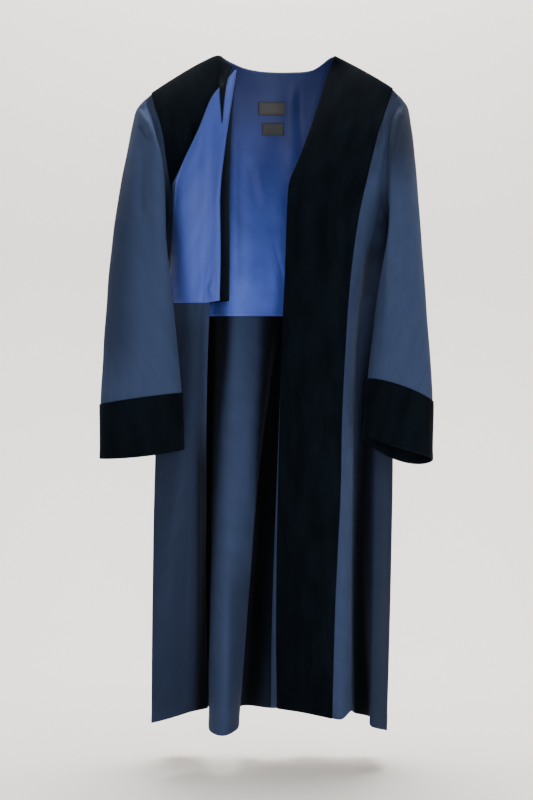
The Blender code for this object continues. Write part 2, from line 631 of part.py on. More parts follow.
# The right front's lining lies on the turned-back flap, then bulges loose past the fold
on_flap = cut_grid(panels["front_right"], 1, lining_row, places["front_right"]["flap_right"],
                   last["front_right"] - 1)
loose = []
loose_cells = []
for name, count, knots in LOOSE_LINING_LINES:
    loose.append(even_curve([place(*knot) for knot in knots]))
    loose_cells.append(count)
middle = []
for row in on_flap:
    middle.append([point + normal * under_wool for point, normal in row])
first_down = seen(middle[0][0])[1]
last_down = seen(middle[-1][0])[1]
full_rows = []
for row in middle:
    share = (seen(row[0])[1] - first_down) / (last_down - first_down)
    knots = [line(share) for line in loose] + [row[0], row[1], row[2]]
    free = [spline_at(knots, spot) for spot in positions(loose_cells, 0, len(loose))][:-1]
    full_rows.append(free + row)
grid = []
free_count = len(full_rows[0]) - len(middle[0])
for j, row in enumerate(full_rows):
    pairs = []
    for i, point in enumerate(row):
        sideways = row[min(i + 1, len(row) - 1)] - row[max(i - 1, 0)]
        downwards = full_rows[min(j + 1, len(full_rows) - 1)][i] - full_rows[max(j - 1, 0)][i]
        normal = downwards.cross(sideways).normalized()
        if i >= free_count:
            normal = on_flap[j][i - free_count][1]
        pairs.append((point, normal))
    grid.append(pairs)
wall("lining_front_right", grid, 0.0, SATIN, satin)


# Labels, laid on the back lining
back = cloths["back"]
back_names = [row[0] for row in BACK_LINES]


def find_across(across_mm, down_mm, low, high):
    for _ in range(26):
        middle = 0.5 * (low + high)
        along = back.along_for(middle, down_mm)
        if seen(back.point(middle, along))[0] > across_mm:
            low = middle
        else:
            high = middle
    return 0.5 * (low + high)


on_lining = -(0.5 * WOOL + GAP + SATIN + LABEL_GAP + 0.5 * LABEL)
for name, left, right, top, bottom in LABELS:
    grid = []
    for j in range(3):
        down = top + (bottom - top) * j / 2.0
        row = []
        for i in range(5):
            side = left + (right - left) * i / 4.0
            across = find_across(side, down, back_names.index("back_neck_left"),
                                 back_names.index("column_left_foot"))
            along = back.along_for(across, down)
            row.append((back.point(across, along), back.normal(across, along)))
        grid.append(row)
    wall(name, grid, on_lining, LABEL, label_cloth)

# Sleeves and cuffs
AROUND = 20
SLEEVE_OUT = 0.0009
SLEEVE_LIFT = 0.0023
SLEEVE_ROWS = [0.0, 0.3, 0.65, 1.0, 1.5, 2.0, 2.5, 3.0, 3.5, 4.0, 4.5, 5.0, 5.5, 6.0, 6.5, 7.0, 7.2]
CUFF_ROWS = [7.01, 7.25, 7.5, 7.75, 8.0]


def edge_points(panel, column, inward, count):
    # A panel's armhole edge, lifted off its outside, with its longest stretches split
    grid = panels[panel]
    points = []
    for j in range(ARMHOLE_ROWS + 1):
        point, normal = grid[j][column]
        outward = (point - grid[j][inward][0]).normalized()
        points.append(point + outward * SLEEVE_OUT + normal * SLEEVE_LIFT)
    while len(points) < count + 1:
        spans = [(b - a).length for a, b in zip(points, points[1:])]
        longest = spans.index(max(spans))
        points.insert(longest + 1, points[longest].lerp(points[longest + 1], 0.5))
    lengths = [0.0]
    for a, b in zip(points, points[1:]):
        lengths.append(lengths[-1] + (b - a).length)
    return points, [length / lengths[-1] for length in lengths]


def ring_point(ring, angle):
    outer, front, inner, back = [place(*spot) for spot in ring]
    c = math.cos(angle)
    s = math.sin(angle)
    middle = (outer + inner) * 0.5 * c * c + (front + back) * 0.5 * s * s
    return middle + (outer - inner) * 0.5 * c + (front - back) * 0.5 * s


def sleeve(side, rings):
    half = AROUND // 2
    front = "front_" + side
    if side == "left":
        front_edge, front_shares = edge_points(front, last[front], last[front] - 1, half)
        back_edge, back_shares = edge_points("back", 0, 1, half)
    else:
        front_edge, front_shares = edge_points(front, 0, 1, half)
        back_edge, back_shares = edge_points("back", last["back"], last["back"] - 1, half)
    loop = front_edge[:-1] + back_edge[:0:-1]
    angles = [math.pi * share for share in front_shares[:-1]]
    angles += [math.pi * (2.0 - share) for share in back_shares[:0:-1]]
    lines = []
    for start, angle in zip(loop, angles):
        lines.append(knot_curve([start] + [ring_point(ring, angle) for ring in rings]))
    tube = Cloth(lines, closed=True, along_end=float(len(rings)))
    sign = 1.0
    middle = sum((line(4.0) for line in lines), Vector()) / AROUND
    if tube.normal(0.0, 4.0).dot(lines[0](4.0) - middle) < 0.0:
        sign = -1.0

    def tube_grid(rows):
        grid = []
        for along in rows:
            row = []
            for k in range(AROUND):
                row.append((tube.point(k, along), tube.normal(k, along) * sign))
            grid.append(row)
        return grid

    wall("sleeve_" + side, tube_grid(SLEEVE_ROWS), 0.0, WOOL, wool, closed=True)
    wall("cuff_" + side, tube_grid(CUFF_ROWS), on_wool, VELVET, velvet, closed=True)


sleeve("left", SLEEVE_LEFT_RINGS)
sleeve("right", SLEEVE_RIGHT_RINGS)
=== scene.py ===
import math

import bpy
import numpy as np
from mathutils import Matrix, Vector


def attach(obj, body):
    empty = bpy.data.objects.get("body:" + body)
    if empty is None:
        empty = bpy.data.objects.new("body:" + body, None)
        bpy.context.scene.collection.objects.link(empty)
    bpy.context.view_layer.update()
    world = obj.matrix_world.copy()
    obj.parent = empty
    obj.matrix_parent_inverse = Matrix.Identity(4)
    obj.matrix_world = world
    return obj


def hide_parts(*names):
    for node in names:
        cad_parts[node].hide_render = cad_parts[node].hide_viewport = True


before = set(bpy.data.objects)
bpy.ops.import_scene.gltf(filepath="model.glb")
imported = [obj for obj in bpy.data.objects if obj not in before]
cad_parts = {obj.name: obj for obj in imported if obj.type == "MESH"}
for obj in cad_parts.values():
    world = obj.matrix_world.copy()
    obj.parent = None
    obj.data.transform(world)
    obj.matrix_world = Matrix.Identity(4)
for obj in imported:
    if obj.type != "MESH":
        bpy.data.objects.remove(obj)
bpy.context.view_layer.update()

# sizes in metres; the tables are in millimetres as seen from the front:
# across from the middle, down from the shoulder's neck point, depth behind the shoulder line
mm = 0.001
view = {"distance": 3.1, "across": -0.0211, "down": 0.6605, "lens": 48.44, "sensor": 24.0}
# how far the cloth runs level beside the shoulder seam, and the rows laid there
shoulderRoll = {"depth": 7.0, "drop": 0.9, "share": 0.015, "rows": 7}
underarmDown = 345.6

# name, the side of the shoulder the line starts on, knots (across, down, depth)
frontLeftLines = [
    ("neckEdge", "front",
     [(108.5, 1.9, 0), (101.8, 21.1, -9), (93.1, 49.9, -22), (77.8, 99.8, -44), (60.5, 149.8, -62),
      (41.3, 199.7, -76), (24, 241.9, -84), (19.8, 286.1, -84), (16.3, 391.7, -76),
      (11.5, 506.9, -64), (6.7, 660.5, -46), (2.9, 814.1, -26), (0, 967.7, -4), (-1, 1121.3, 22),
      (1, 1251.8, 46)]),
    ("bandInner", "front",
     [(139.2, 17.3, 0), (131.5, 65.3, -42), (116.2, 142.1, -76), (85.4, 257.3, -98),
      (66.2, 468.5, -86), (54.7, 698.9, -70), (50.9, 967.7, -44), (50.9, 1259.5, -4)]),
    ("bandMiddle", "front",
     [(181.4, 40.3, 0), (173.8, 80.6, -38), (154.6, 161.3, -76), (129.6, 257.3, -96),
      (106.6, 468.5, -90), (97, 698.9, -80), (91.2, 967.7, -62), (87.4, 1267.2, -32)]),
    ("bandOuter", "front",
     [(219.8, 64.3, 0), (212.2, 90.2, -22), (196.8, 132.5, -52), (189.1, 161.3, -64),
      (169.9, 240, -82), (155.5, 305.3, -84), (137.3, 439.7, -80), (123.8, 660.5, -72),
      (120, 833.3, -66), (110.4, 1044.5, -54), (104.6, 1271, -36)]),
    ("ridgeMiddle", "front",
     [(222.1, 66.8, 0), (213.9, 90.2, -23), (199.9, 127.7, -48.4), (192, 163.2, -63.3),
      (176.1, 239, -80), (165.7, 299.5, -81), (145.7, 455, -73), (134.2, 679.7, -63),
      (130, 900.5, -56), (125.8, 1044.5, -49), (122.9, 1273, -37)]),
    ("frontRidge", "front",
     [(224.6, 69.1, 0), (215.6, 90.2, -24), (202.6, 122.9, -46), (194.9, 165.1, -63),
      (182.4, 238.1, -78), (175.7, 295.7, -77), (169.9, 345.6, -72), (152.6, 472.3, -58),
      (143, 698.9, -46), (139.2, 967.7, -34), (139.2, 1258.6, -18)]),
    ("frontValley", "front",
     [(227.5, 72, 0), (218.9, 94.1, -25), (207.9, 122.9, -45), (201.4, 165.1, -63),
      (193, 238.1, -75), (189.1, 295.7, -66), (185.3, 345.6, -48), (161.3, 472.3, -12),
      (151.7, 698.9, 14), (148.8, 967.7, 32), (150.7, 1261.4, 52)]),
    ("sideValley", "front",
     [(229.4, 73.9, 0), (222.1, 96, -25), (212.2, 122.9, -42), (205.6, 165.1, -62),
      (200.3, 238.1, -72), (199.5, 295.7, -57), (199.5, 345.6, -29), (173.8, 472.3, 2),
      (164.2, 698.9, 16), (161.3, 967.7, 26), (167, 1121.3, 32), (176.3, 1267.2, 36)]),
    ("sideCrest", "front",
     [(230.6, 75.1, 0), (225.2, 97.9, -23), (216, 121, -38), (209.9, 165.1, -60),
      (206, 238.1, -70), (208.3, 295.7, -49), (211.8, 345.6, -10), (196.8, 472.3, 12),
      (189.1, 698.9, 4), (185.3, 967.7, -16), (182.2, 1140.5, -26), (179.9, 1286.4, -32)]),
    ("side", "front",
     [(231.7, 76.2, 0), (228.7, 97.9, -20), (219.8, 119, -34), (214.1, 165.1, -57),
      (210.6, 238.1, -67), (214.1, 295.7, -42), (221.8, 345.6, 6), (220.4, 351.4, 9),
      (215.2, 420.5, 30), (216, 526.1, 38), (218.9, 660.5, 32), (221, 768, 24), (217.9, 967.7, 16),
      (213.3, 1159.7, 8), (209.3, 1294.1, 0)]),
]
backLines = [
    ("sideLeft", "back",
     [(231.7, 76.2, 0), (231.4, 97.9, 20), (224.6, 132.5, 50), (218.9, 180.5, 72),
      (217.5, 238.1, 74), (219.1, 295.7, 48), (221.8, 345.6, 6), (220.4, 351.4, 9),
      (215.2, 420.5, 30), (216, 526.1, 38), (218.9, 660.5, 32), (221, 768, 24), (217.9, 967.7, 16),
      (213.3, 1159.7, 8), (209.3, 1294.1, 0)]),
    ("backSideLeft", "back",
     [(221.8, 66.2, 0), (219.8, 96, 28), (212.2, 142.1, 66), (207.2, 199.7, 86),
      (205.6, 276.5, 94), (210.2, 345.6, 84), (212.2, 472.3, 90), (212.2, 756.5, 88),
      (210.2, 1006.1, 80), (206.4, 1261.4, 66)]),
    ("backTipLeft", "back",
     [(200.6, 51.8, 0), (198.7, 84.5, 34), (193, 151.7, 74), (185.3, 276.5, 102),
      (177.6, 472.3, 112), (171.8, 756.5, 120), (166.1, 967.7, 126), (162.2, 1242.2, 132)]),
    ("backShoulderLeft", "back",
     [(162.2, 29.8, 0), (158.4, 69.1, 40), (152.6, 142.1, 76), (143, 276.5, 100),
      (133.4, 506.9, 108), (127.7, 756.5, 110), (123.8, 967.7, 110), (120, 1242.2, 110)]),
    ("backCollarLeft", "back",
     [(119, 7.3, 0), (117.1, 36.5, 38), (114.2, 107.5, 74), (107.5, 259.2, 98), (99.8, 506.9, 108),
      (94.1, 756.5, 117), (90.2, 967.7, 123), (86.4, 1242.2, 129)]),
    ("backNeckLeft", "back",
     [(108.5, 1.9, 0), (106.6, 30.7, 36), (102.7, 103.7, 74), (97, 257.3, 98), (89.3, 506.9, 108),
      (83.5, 756.5, 120), (79.7, 967.7, 128), (75.8, 1242.2, 136)]),
    ("backWave", "none",
     [(66.2, 28, 42), (64.3, 84.5, 66), (58.6, 257.3, 96), (50.9, 506.9, 108), (43.2, 756.5, 120),
      (37.4, 967.7, 126), (31.7, 1243, 130)]),
    ("backStrip", "none",
     [(25.9, 31.9, 54), (24, 103.7, 70), (24, 257.3, 86), (28.8, 503, 94), (16.3, 756.5, 100),
      (6.7, 967.7, 100), (-4.8, 1251.1, 98)]),
    ("columnRightFoot", "none",
     [(-8.6, 31.9, 58), (-4.8, 103.7, 72), (2.9, 257.3, 78), (12.5, 410.9, 82), (11.7, 503, 88),
      (1, 564.5, 98), (-22.1, 718.1, 112), (-48, 967.7, 126), (-69.1, 1247, 130)]),
    ("columnRightEdge", "none",
     [(-39.4, 29.2, 54), (-35.5, 103.7, 68), (-24, 257.3, 68), (-12.5, 410.9, 66),
      (-12.5, 497.3, 60), (-22.1, 583.7, 48), (-32.6, 700.8, 38), (-53.8, 963.8, 24),
      (-67.2, 1153.9, 18), (-78, 1291.8, 16)]),
    ("columnCrest", "none",
     [(-66.2, 23, 42), (-64.3, 94.1, 62), (-60.5, 257.3, 54), (-58.6, 468.5, 40),
      (-70.1, 700.8, 18), (-89.3, 967.7, -6), (-104.6, 1304.6, -24)]),
    ("columnLeftEdge", "none",
     [(-89.3, 12.7, 24), (-86.4, 65.3, 52), (-86.2, 257.3, 58), (-91.2, 430.1, 46),
      (-96, 574.1, 34), (-108.5, 679.7, 26), (-121, 963.8, 10), (-127.7, 1159.7, 4),
      (-128.4, 1296, 4)]),
    ("columnLeftFoot", "back",
     [(-111.4, 1.9, 0), (-108.5, 42.2, 34), (-110.4, 103.7, 66), (-114.2, 257.3, 94),
      (-121.9, 468.5, 100), (-120, 574.1, 104), (-123.8, 718.1, 108), (-126.7, 963.8, 104),
      (-128.6, 1249, 98)]),
    ("backCollarRight", "back",
     [(-121, 6.9, 0), (-119, 46.1, 36), (-121, 109.4, 69), (-123.8, 259.2, 96),
      (-128.6, 478.1, 106), (-128.6, 756.5, 116), (-133.4, 963.8, 114), (-135.4, 1247, 110)]),
    ("backShoulderRight", "back",
     [(-168, 27.8, 0), (-166.1, 65.3, 40), (-162.2, 142.1, 78), (-154.6, 276.5, 102),
      (-150.7, 506.9, 116), (-150.7, 756.5, 124), (-152.6, 967.7, 130), (-154.6, 1242.2, 134)]),
    ("backTipRight", "back",
     [(-212.2, 54.7, 0), (-210.2, 88.3, 34), (-202.6, 157.4, 74), (-193, 276.5, 102),
      (-183.4, 472.3, 116), (-179.5, 756.5, 126), (-179.5, 967.7, 132), (-181.4, 1242.2, 136)]),
    ("backSideRight", "back",
     [(-241, 73.7, 0), (-239, 103.7, 28), (-227.5, 149.8, 66), (-219.8, 203.5, 86),
      (-215, 276.5, 94), (-217, 345.6, 86), (-217, 472.3, 96), (-217.9, 756.5, 104),
      (-218.9, 1006.1, 110), (-218.9, 1244.2, 120)]),
    ("sideRight", "back",
     [(-252.5, 84.1, 0), (-251.3, 105.6, 20), (-242.9, 140.2, 50), (-233.3, 188.2, 72),
      (-228.3, 245.8, 74), (-226.4, 299.5, 48), (-225.6, 345.6, 6), (-225.6, 351.4, 8),
      (-224.6, 420.5, 34), (-225.6, 526.1, 50), (-228.5, 756.5, 60), (-230.4, 1006.1, 74),
      (-229.4, 1244.2, 86)]),
]
frontRightLines = [
    ("side", "front",
     [(-252.5, 84.1, 0), (-247.9, 101.8, -18), (-240.2, 121, -32), (-230.4, 161.3, -50),
      (-222.7, 209.3, -60), (-217.9, 257.3, -56), (-219.8, 305.3, -34), (-225.6, 345.6, 6),
      (-225.6, 351.4, 8), (-224.6, 420.5, 34), (-225.6, 526.1, 50), (-228.5, 756.5, 60),
      (-230.4, 1006.1, 74), (-229.4, 1244.2, 86)]),
    ("sideCrest", "front",
     [(-249.4, 81.2, 0), (-243.6, 101.8, -22), (-235.2, 122.9, -38), (-225.6, 159.4, -53),
      (-218.7, 203.5, -61), (-212.2, 253.4, -58), (-210.2, 299.5, -34), (-212.2, 345.6, -2),
      (-214.1, 420.5, 28), (-216, 526.1, 44), (-219.8, 756.5, 56), (-221.8, 1006.1, 70),
      (-220.8, 1247, 82)]),
    ("frontTip", "front",
     [(-245.2, 77.6, 0), (-238.7, 99.8, -26), (-230.6, 122.9, -42), (-221.8, 157.4, -55),
      (-216, 199.7, -62), (-209.5, 249.6, -60), (-201.6, 301.4, -39), (-194.9, 345.6, -16),
      (-194.9, 420.5, 14), (-195.8, 526.1, 36), (-198.7, 756.5, 52), (-199.7, 1006.1, 68),
      (-196.8, 1248, 82)]),
    ("bandOuter", "front",
     [(-240.4, 73.3, 0), (-233.3, 99.8, -30), (-225.6, 122.9, -44), (-217.9, 157.4, -57),
      (-212.2, 199.7, -63), (-204.5, 247.7, -62), (-191, 301.4, -46), (-177.6, 353.3, -26),
      (-169.9, 420.5, -4), (-168, 526.1, 22), (-169.9, 756.5, 48), (-169.9, 1006.1, 68),
      (-166.1, 1249, 84)]),
    ("bandMiddle", "front",
     [(-194.9, 43.4, 0), (-191, 80.6, -40), (-183.4, 161.3, -66), (-171.8, 266.9, -64),
      (-158.4, 372.5, -32), (-157.4, 526.1, 14), (-162.2, 756.5, 46), (-162.2, 1006.1, 71),
      (-156.5, 1249, 88)]),
    ("bandInner", "front",
     [(-145, 14.6, 0), (-145, 57.6, -38), (-145, 142.1, -66), (-145, 266.9, -68),
      (-144, 372.5, -40), (-149.8, 526.1, 6), (-154.6, 756.5, 42), (-155.5, 1006.1, 70),
      (-147.8, 1249.2, 90)]),
    ("turnBack", "front",
     [(-111.4, 1.9, 0), (-116.5, 42.2, -27), (-122.9, 122.9, -57), (-127.7, 257.3, -67),
      (-131.5, 372.5, -44), (-141.1, 506.9, -8), (-146.5, 660.5, 16), (-148.8, 852.5, 48),
      (-148.8, 1044.5, 72), (-141.9, 1249.5, 88)]),
    ("turnCrest", "none",
     [(-98.9, 42.2, -42), (-108.5, 122.9, -69), (-116.2, 257.3, -80), (-121.9, 372.5, -62),
      (-131.1, 487.7, -34), (-136.1, 660.5, -6), (-137.3, 852.5, 24), (-137.3, 1044.5, 52),
      (-134.2, 1250.7, 72)]),
    ("flapRight", "none",
     [(-125.8, 77.8, -68), (-127.7, 161.3, -90), (-128.8, 257.3, -96), (-131.5, 372.5, -79),
      (-141.1, 487.7, -48), (-147.6, 660.5, -26), (-153.8, 852.5, -14), (-163.2, 1044.5, -8),
      (-170.9, 1259.5, 2)]),
    ("flapMiddle", "none",
     [(-152.6, 142.1, -90), (-151.9, 257.3, -99), (-151.5, 372.5, -82), (-156.5, 487.7, -54),
      (-164.2, 660.5, -36), (-173.8, 852.5, -28), (-183.4, 1044.5, -22), (-192, 1266.4, -18)]),
    ("flapLeft", "none",
     [(-177.6, 194.9, -92), (-183.4, 266.9, -95), (-179.5, 353.3, -80), (-175.7, 474.2, -48),
      (-185.3, 660.5, -28), (-198.7, 852.5, -32), (-208.3, 1044.5, -36), (-214.1, 1273, -40)]),
    ("flapEdge", "none",
     [(-200.6, 245.8, -90), (-201.8, 286.1, -70), (-203.7, 343.7, -26), (-208.3, 395.5, 0),
      (-217, 468.5, 14), (-225.6, 564.5, 18), (-231.4, 660.5, 14), (-234.4, 768, 2),
      (-237.5, 890.9, -20), (-239.8, 1082.9, -44), (-240.4, 1279.7, -60)]),
]
# outer, front, inner and back point of each sleeve section; the last two are the cuff
sleeveRightRings = [
    ((-266.3, 98.9, -2), (-219.8, 215, -79), (-228.3, 364.8, -2), (-241, 199.7, 70)),
    ((-275.9, 133.4, -8), (-225.6, 261.1, -92), (-221.8, 387.8, -34), (-258.2, 249.6, 46)),
    ((-290.9, 199.7, -18), (-235.2, 314.9, -100), (-208.3, 426.2, -48), (-256.3, 303.4, 34)),
    ((-307.2, 286.1, -30), (-246.7, 380.2, -102), (-201.4, 472.3, -54), (-260.2, 372.5, 12)),
    ((-321, 401.3, -44), (-254.4, 460.8, -104), (-196, 522.2, -58), (-262.1, 453.1, -6)),
    ((-331.6, 535.7, -56), (-260.2, 554.9, -106), (-189.9, 579.8, -62), (-262.1, 551, -18)),
    ((-338.9, 664.3, -64), (-262.1, 651.8, -108), (-184.1, 643.2, -66), (-262.1, 652.8, -24)),
    ((-338.3, 772.4, -68), (-262.1, 768.6, -112), (-181.4, 755.1, -69), (-262.1, 766.7, -26)),
]
sleeveLeftRings = [
    ((244, 91, -2), (214.1, 215, -79), (229.4, 364.8, -6), (235.2, 199.7, 70)),
    ((253.2, 133.4, -8), (217.9, 261.1, -92), (223.7, 389.8, -40), (248.6, 249.6, 46)),
    ((262.5, 199.7, -18), (223.7, 314.9, -100), (200.6, 426.2, -48), (241, 303.4, 34)),
    ((270.9, 286.1, -30), (228.5, 380.2, -102), (191, 472.3, -54), (239, 372.5, 12)),
    ((280.1, 401.3, -44), (231.4, 460.8, -104), (184.9, 522.2, -58), (237.1, 453.1, -6)),
    ((289.3, 535.7, -56), (234.2, 554.9, -106), (178.8, 574.1, -62), (235.2, 551, -18)),
    ((297.4, 659.5, -64), (235.2, 627.8, -108), (174.3, 618.2, -66), (235.2, 641.3, -24)),
    ((295.3, 774.3, -68), (231.4, 750.7, -112), (166.1, 731.5, -69), (233.3, 776.4, -26)),
]
looseLiningLines = [
    [(-121.9, 74.9, 15), (-129.6, 257.3, -30), (-135.4, 372.5, -8), (-139.2, 475.2, 16)],
    [(-91.2, 53.8, 2), (-93.1, 122.9, -18), (-93.9, 257.3, -26), (-93.9, 372.5, -14),
     (-95, 470.4, 2)],
    [(-78.9, 26.9, -26), (-85.1, 69.1, -54), (-90.4, 107.5, -74), (-98.9, 161.3, -92),
     (-107.5, 234.2, -99), (-110.4, 276.5, -97), (-109.2, 372.5, -84), (-111.4, 469.4, -60)],
]


def placeKnots(knots):
    table = np.array(knots, dtype=float) * mm
    spread = 1.0 + table[:, 2] / view["distance"]
    x = view["across"] + (table[:, 0] - view["across"]) * spread
    z = -(view["down"] + (table[:, 1] - view["down"]) * spread)
    return np.stack([x, table[:, 2], z], axis=1)


def seenAcross(points):
    spread = 1.0 + points[..., 1] / view["distance"]
    return (view["across"] + (points[..., 0] - view["across"]) / spread) / mm


def seenDown(points):
    spread = 1.0 + points[..., 1] / view["distance"]
    return (view["down"] + (-points[..., 2] - view["down"]) / spread) / mm


def blendSpan(a, b, c, d, t):
    # centripetal spline through b and c, for whole arrays of points
    def knotGap(p, q):
        return np.maximum(np.linalg.norm(q - p, axis=-1, keepdims=True), 1e-7) ** 0.5

    t1 = knotGap(a, b)
    t2 = t1 + knotGap(b, c)
    t3 = t2 + knotGap(c, d)
    s = t1 + (t2 - t1) * t
    ab = a * ((t1 - s) / t1) + b * (s / t1)
    bc = b * ((t2 - s) / (t2 - t1)) + c * ((s - t1) / (t2 - t1))
    cd = c * ((t3 - s) / (t3 - t2)) + d * ((s - t2) / (t3 - t2))
    abc = ab * ((t2 - s) / t2) + bc * (s / t2)
    bcd = bc * ((t3 - s) / (t3 - t1)) + cd * ((s - t1) / (t3 - t1))
    return abc * ((t2 - s) / (t2 - t1)) + bcd * ((s - t1) / (t2 - t1))


def readSpline(knots, spots):
    # knots: (count, ..., 3); the result has one leading entry for each spot
    count = len(knots)
    result = []
    for spot in spots:
        span = min(max(int(spot), 0), count - 2)
        b, c = knots[span], knots[span + 1]
        a = knots[span - 1] if span > 0 else b * 2.0 - c
        d = knots[span + 2] if span + 2 < count else c * 2.0 - b
        result.append(blendSpan(a, b, c, d, min(max(spot - span, 0.0), 1.0)))
    return np.array(result)


def evenLine(points, shares):
    # a line through the points, read by its share of length
    dense = readSpline(points, np.linspace(0.0, len(points) - 1.0, (len(points) - 1) * 12 + 1))
    steps = np.linalg.norm(np.diff(dense, axis=0), axis=1)
    lengths = np.concatenate([[0.0], np.cumsum(steps)]) / steps.sum()
    return np.stack([np.interp(shares, lengths, dense[:, k]) for k in range(3)], axis=1)


def rollKnots(knots, side):
    # the cloth lies level for a few millimetres on each side of the shoulder seam
    if side == "none":
        return knots
    across, down, depth = knots[0]
    sign = -1.0 if side == "front" else 1.0
    rolled = (across, down + shoulderRoll["drop"], depth + sign * shoulderRoll["depth"])
    return [knots[0], rolled] + knots[1:]


def gridNormals(points, closed=False):
    if closed:
        sideways = np.roll(points, -1, axis=1) - np.roll(points, 1, axis=1)
    else:
        sideways = np.gradient(points, axis=1)
    downwards = np.gradient(points, axis=0)
    normals = np.cross(downwards, sideways)
    return normals / np.maximum(np.linalg.norm(normals, axis=2, keepdims=True), 1e-12)


def columnSpots(lines, spacing, least=4):
    # fine columns between fold lines, none wider than the spacing
    spots = []
    marks = [0]
    for left, right in zip(lines, lines[1:]):
        widest = np.linalg.norm(left - right, axis=1).max()
        cells = max(least, math.ceil(widest / spacing))
        spots += [len(marks) - 1 + step / cells for step in range(cells)]
        marks.append(marks[-1] + cells)
    return np.array(spots + [len(lines) - 1.0]), marks


def panelSurface(table, rows, spacing):
    # the grid of a panel, with more rows where it rolls over the shoulder,
    # and the column that each named line lies on
    top = shoulderRoll["share"]
    shares = np.concatenate([np.linspace(0.0, top, shoulderRoll["rows"])[:-1],
                             np.linspace(top, 1.0, rows)])
    lines = np.array([evenLine(placeKnots(rollKnots(knots, side)), shares)
                      for name, side, knots in table])
    spots, marks = columnSpots(lines, spacing)
    points = readSpline(lines, spots).transpose(1, 0, 2)
    return points, {row[0]: marks[k] for k, row in enumerate(table)}


# soft troughs and ridges, given one by one in seen millimetres:
# start, end, half width, height (plus is towards the viewer, minus into the cloth)
folds = {
    "frontLeft": [
        ((204, 520), (194, 1240), 15, 1.8),
        ((150, 380), (146, 1000), 7, -2.0),
        ((132, 430), (134, 1240), 9, 1.2),
        ((36, 300), (20, 900), 26, 1.6),
        ((70, 420), (60, 1200), 34, -1.5),
        ((104, 260), (98, 760), 30, 1.4),
        ((208, 150), (196, 330), 5, -2.6),
        ((190, 200), (176, 420), 7, 1.8),
    ],
    "frontRight": [
        ((-205, 780), (-216, 1240), 20, 1.6),
        ((-190, 560), (-222, 1190), 16, -1.5),
        ((-166, 700), (-172, 1160), 5, 1.4),
        ((-157, 820), (-160, 1245), 4, -2.4),
        ((-151, 700), (-152, 1240), 4, 2.6),
        ((-143, 560), (-145, 1200), 4, -2.8),
        ((-196, 470), (-206, 660), 9, -1.2),
        ((-170, 100), (-206, 150), 10, -1.2),
    ],
    "back": [
        ((-92, 520), (-104, 1000), 12, 0.9),
        ((-30, 610), (-58, 1230), 10, -3.0),
        ((-10, 350), (13, 445), 4, -2.2),
        ((-20, 370), (2, 465), 7, 1.7),
        ((-56, 190), (-38, 300), 7, -2.4),
        ((-44, 200), (-24, 290), 6, 2.0),
        ((45, 20), (52, 260), 12, -4.0),
        ((22, 40), (30, 300), 12, 1.8),
        ((-30, 120), (-24, 400), 14, 1.2),
        ((-78, 120), (-76, 470), 7, -2.2),
        ((-58, 260), (-54, 470), 11, 1.6),
    ],
    "lining": [
        ((-188, 240), (-184, 440), 9, 1.4),
        ((-148, 330), (-140, 450), 11, 1.4),
        ((-138, 432), (-122, 466), 5, 2.0),
        ((-120, 130), (-136, 300), 10, 1.2),
        ((-122, 428), (-134, 462), 4, 1.8),
        ((-146, 130), (-176, 230), 7, 1.5),
    ],
    "sleeveRight": [
        ((-264, 96), (-250, 120), 5, -4.0),
        ((-264, 134), (-252, 160), 4, -5.5),
        ((-250, 120), (-244, 158), 6, 3.0),
        ((-258, 150), (-264, 320), 9, -4.2),
        ((-276, 150), (-282, 330), 11, 2.2),
        ((-240, 170), (-238, 330), 9, 2.4),
        ((-246, 330), (-250, 560), 15, -1.8),
        ((-300, 380), (-312, 640), 16, 1.9),
        ((-214, 320), (-200, 520), 12, 1.7),
        ((-320, 430), (-290, 470), 9, -1.3),
        ((-230, 560), (-260, 640), 11, -1.4),
    ],
    "sleeveLeft": [
        ((240, 92), (218, 118), 4, -5.0),
        ((236, 106), (222, 132), 5, 3.0),
        ((212, 128), (207, 300), 5, -6.0),
        ((224, 150), (220, 300), 7, 2.6),
        ((240, 160), (250, 320), 13, 1.9),
        ((206, 280), (190, 600), 6, -3.0),
        ((226, 300), (224, 560), 14, -1.8),
        ((262, 380), (276, 620), 15, 1.8),
        ((232, 560), (262, 640), 10, -1.3),
    ],
}


foldShape = {"fade": 0.22, "bow": 0.25, "swell": 0.25}


def foldHeights(name, points):
    # every fold fades at both ends, bows aside and swells a little along its length
    across, down = seenAcross(points), seenDown(points)
    height = np.zeros(across.shape)
    for number, (start, end, width, lift) in enumerate(folds[name]):
        run = np.array(end, float) - np.array(start, float)
        length = np.hypot(*run)
        along = ((across - start[0]) * run[0] + (down - start[1]) * run[1]) / length ** 2
        bow = math.sin(number * 2.3) * foldShape["bow"] * width * np.sin(along * math.pi)
        off = ((across - start[0]) * run[1] - (down - start[1]) * run[0]) / length + bow
        fade = foldShape["fade"]
        ends = np.clip(along / fade, 0, 1) * np.clip((1.0 - along) / fade, 0, 1)
        ends = ends * ends * (3.0 - 2.0 * ends)
        swell = 1.0 + foldShape["swell"] * np.sin(along * 7.0 + number)
        height += lift * ends * swell * np.exp(-(off / width) ** 2)
    return height * mm


def ripple(points, seed, size, height):
    # small unevenness that no pressed cloth is without
    generator = np.random.default_rng(seed)
    total = np.zeros(points.shape[:2])
    for _ in range(10):
        direction = generator.normal(size=3) * (1.0, 1.0, 0.45)
        direction = direction / np.linalg.norm(direction)
        swing = direction * 2.0 * math.pi / (size * generator.uniform(0.6, 1.6))
        total += np.sin(points @ swing + generator.uniform(0.0, 6.28))
    return total * height / 4.0


heldRows, heldColumns = 12.0, 6.0  # nothing moves at a seam, and little beside it


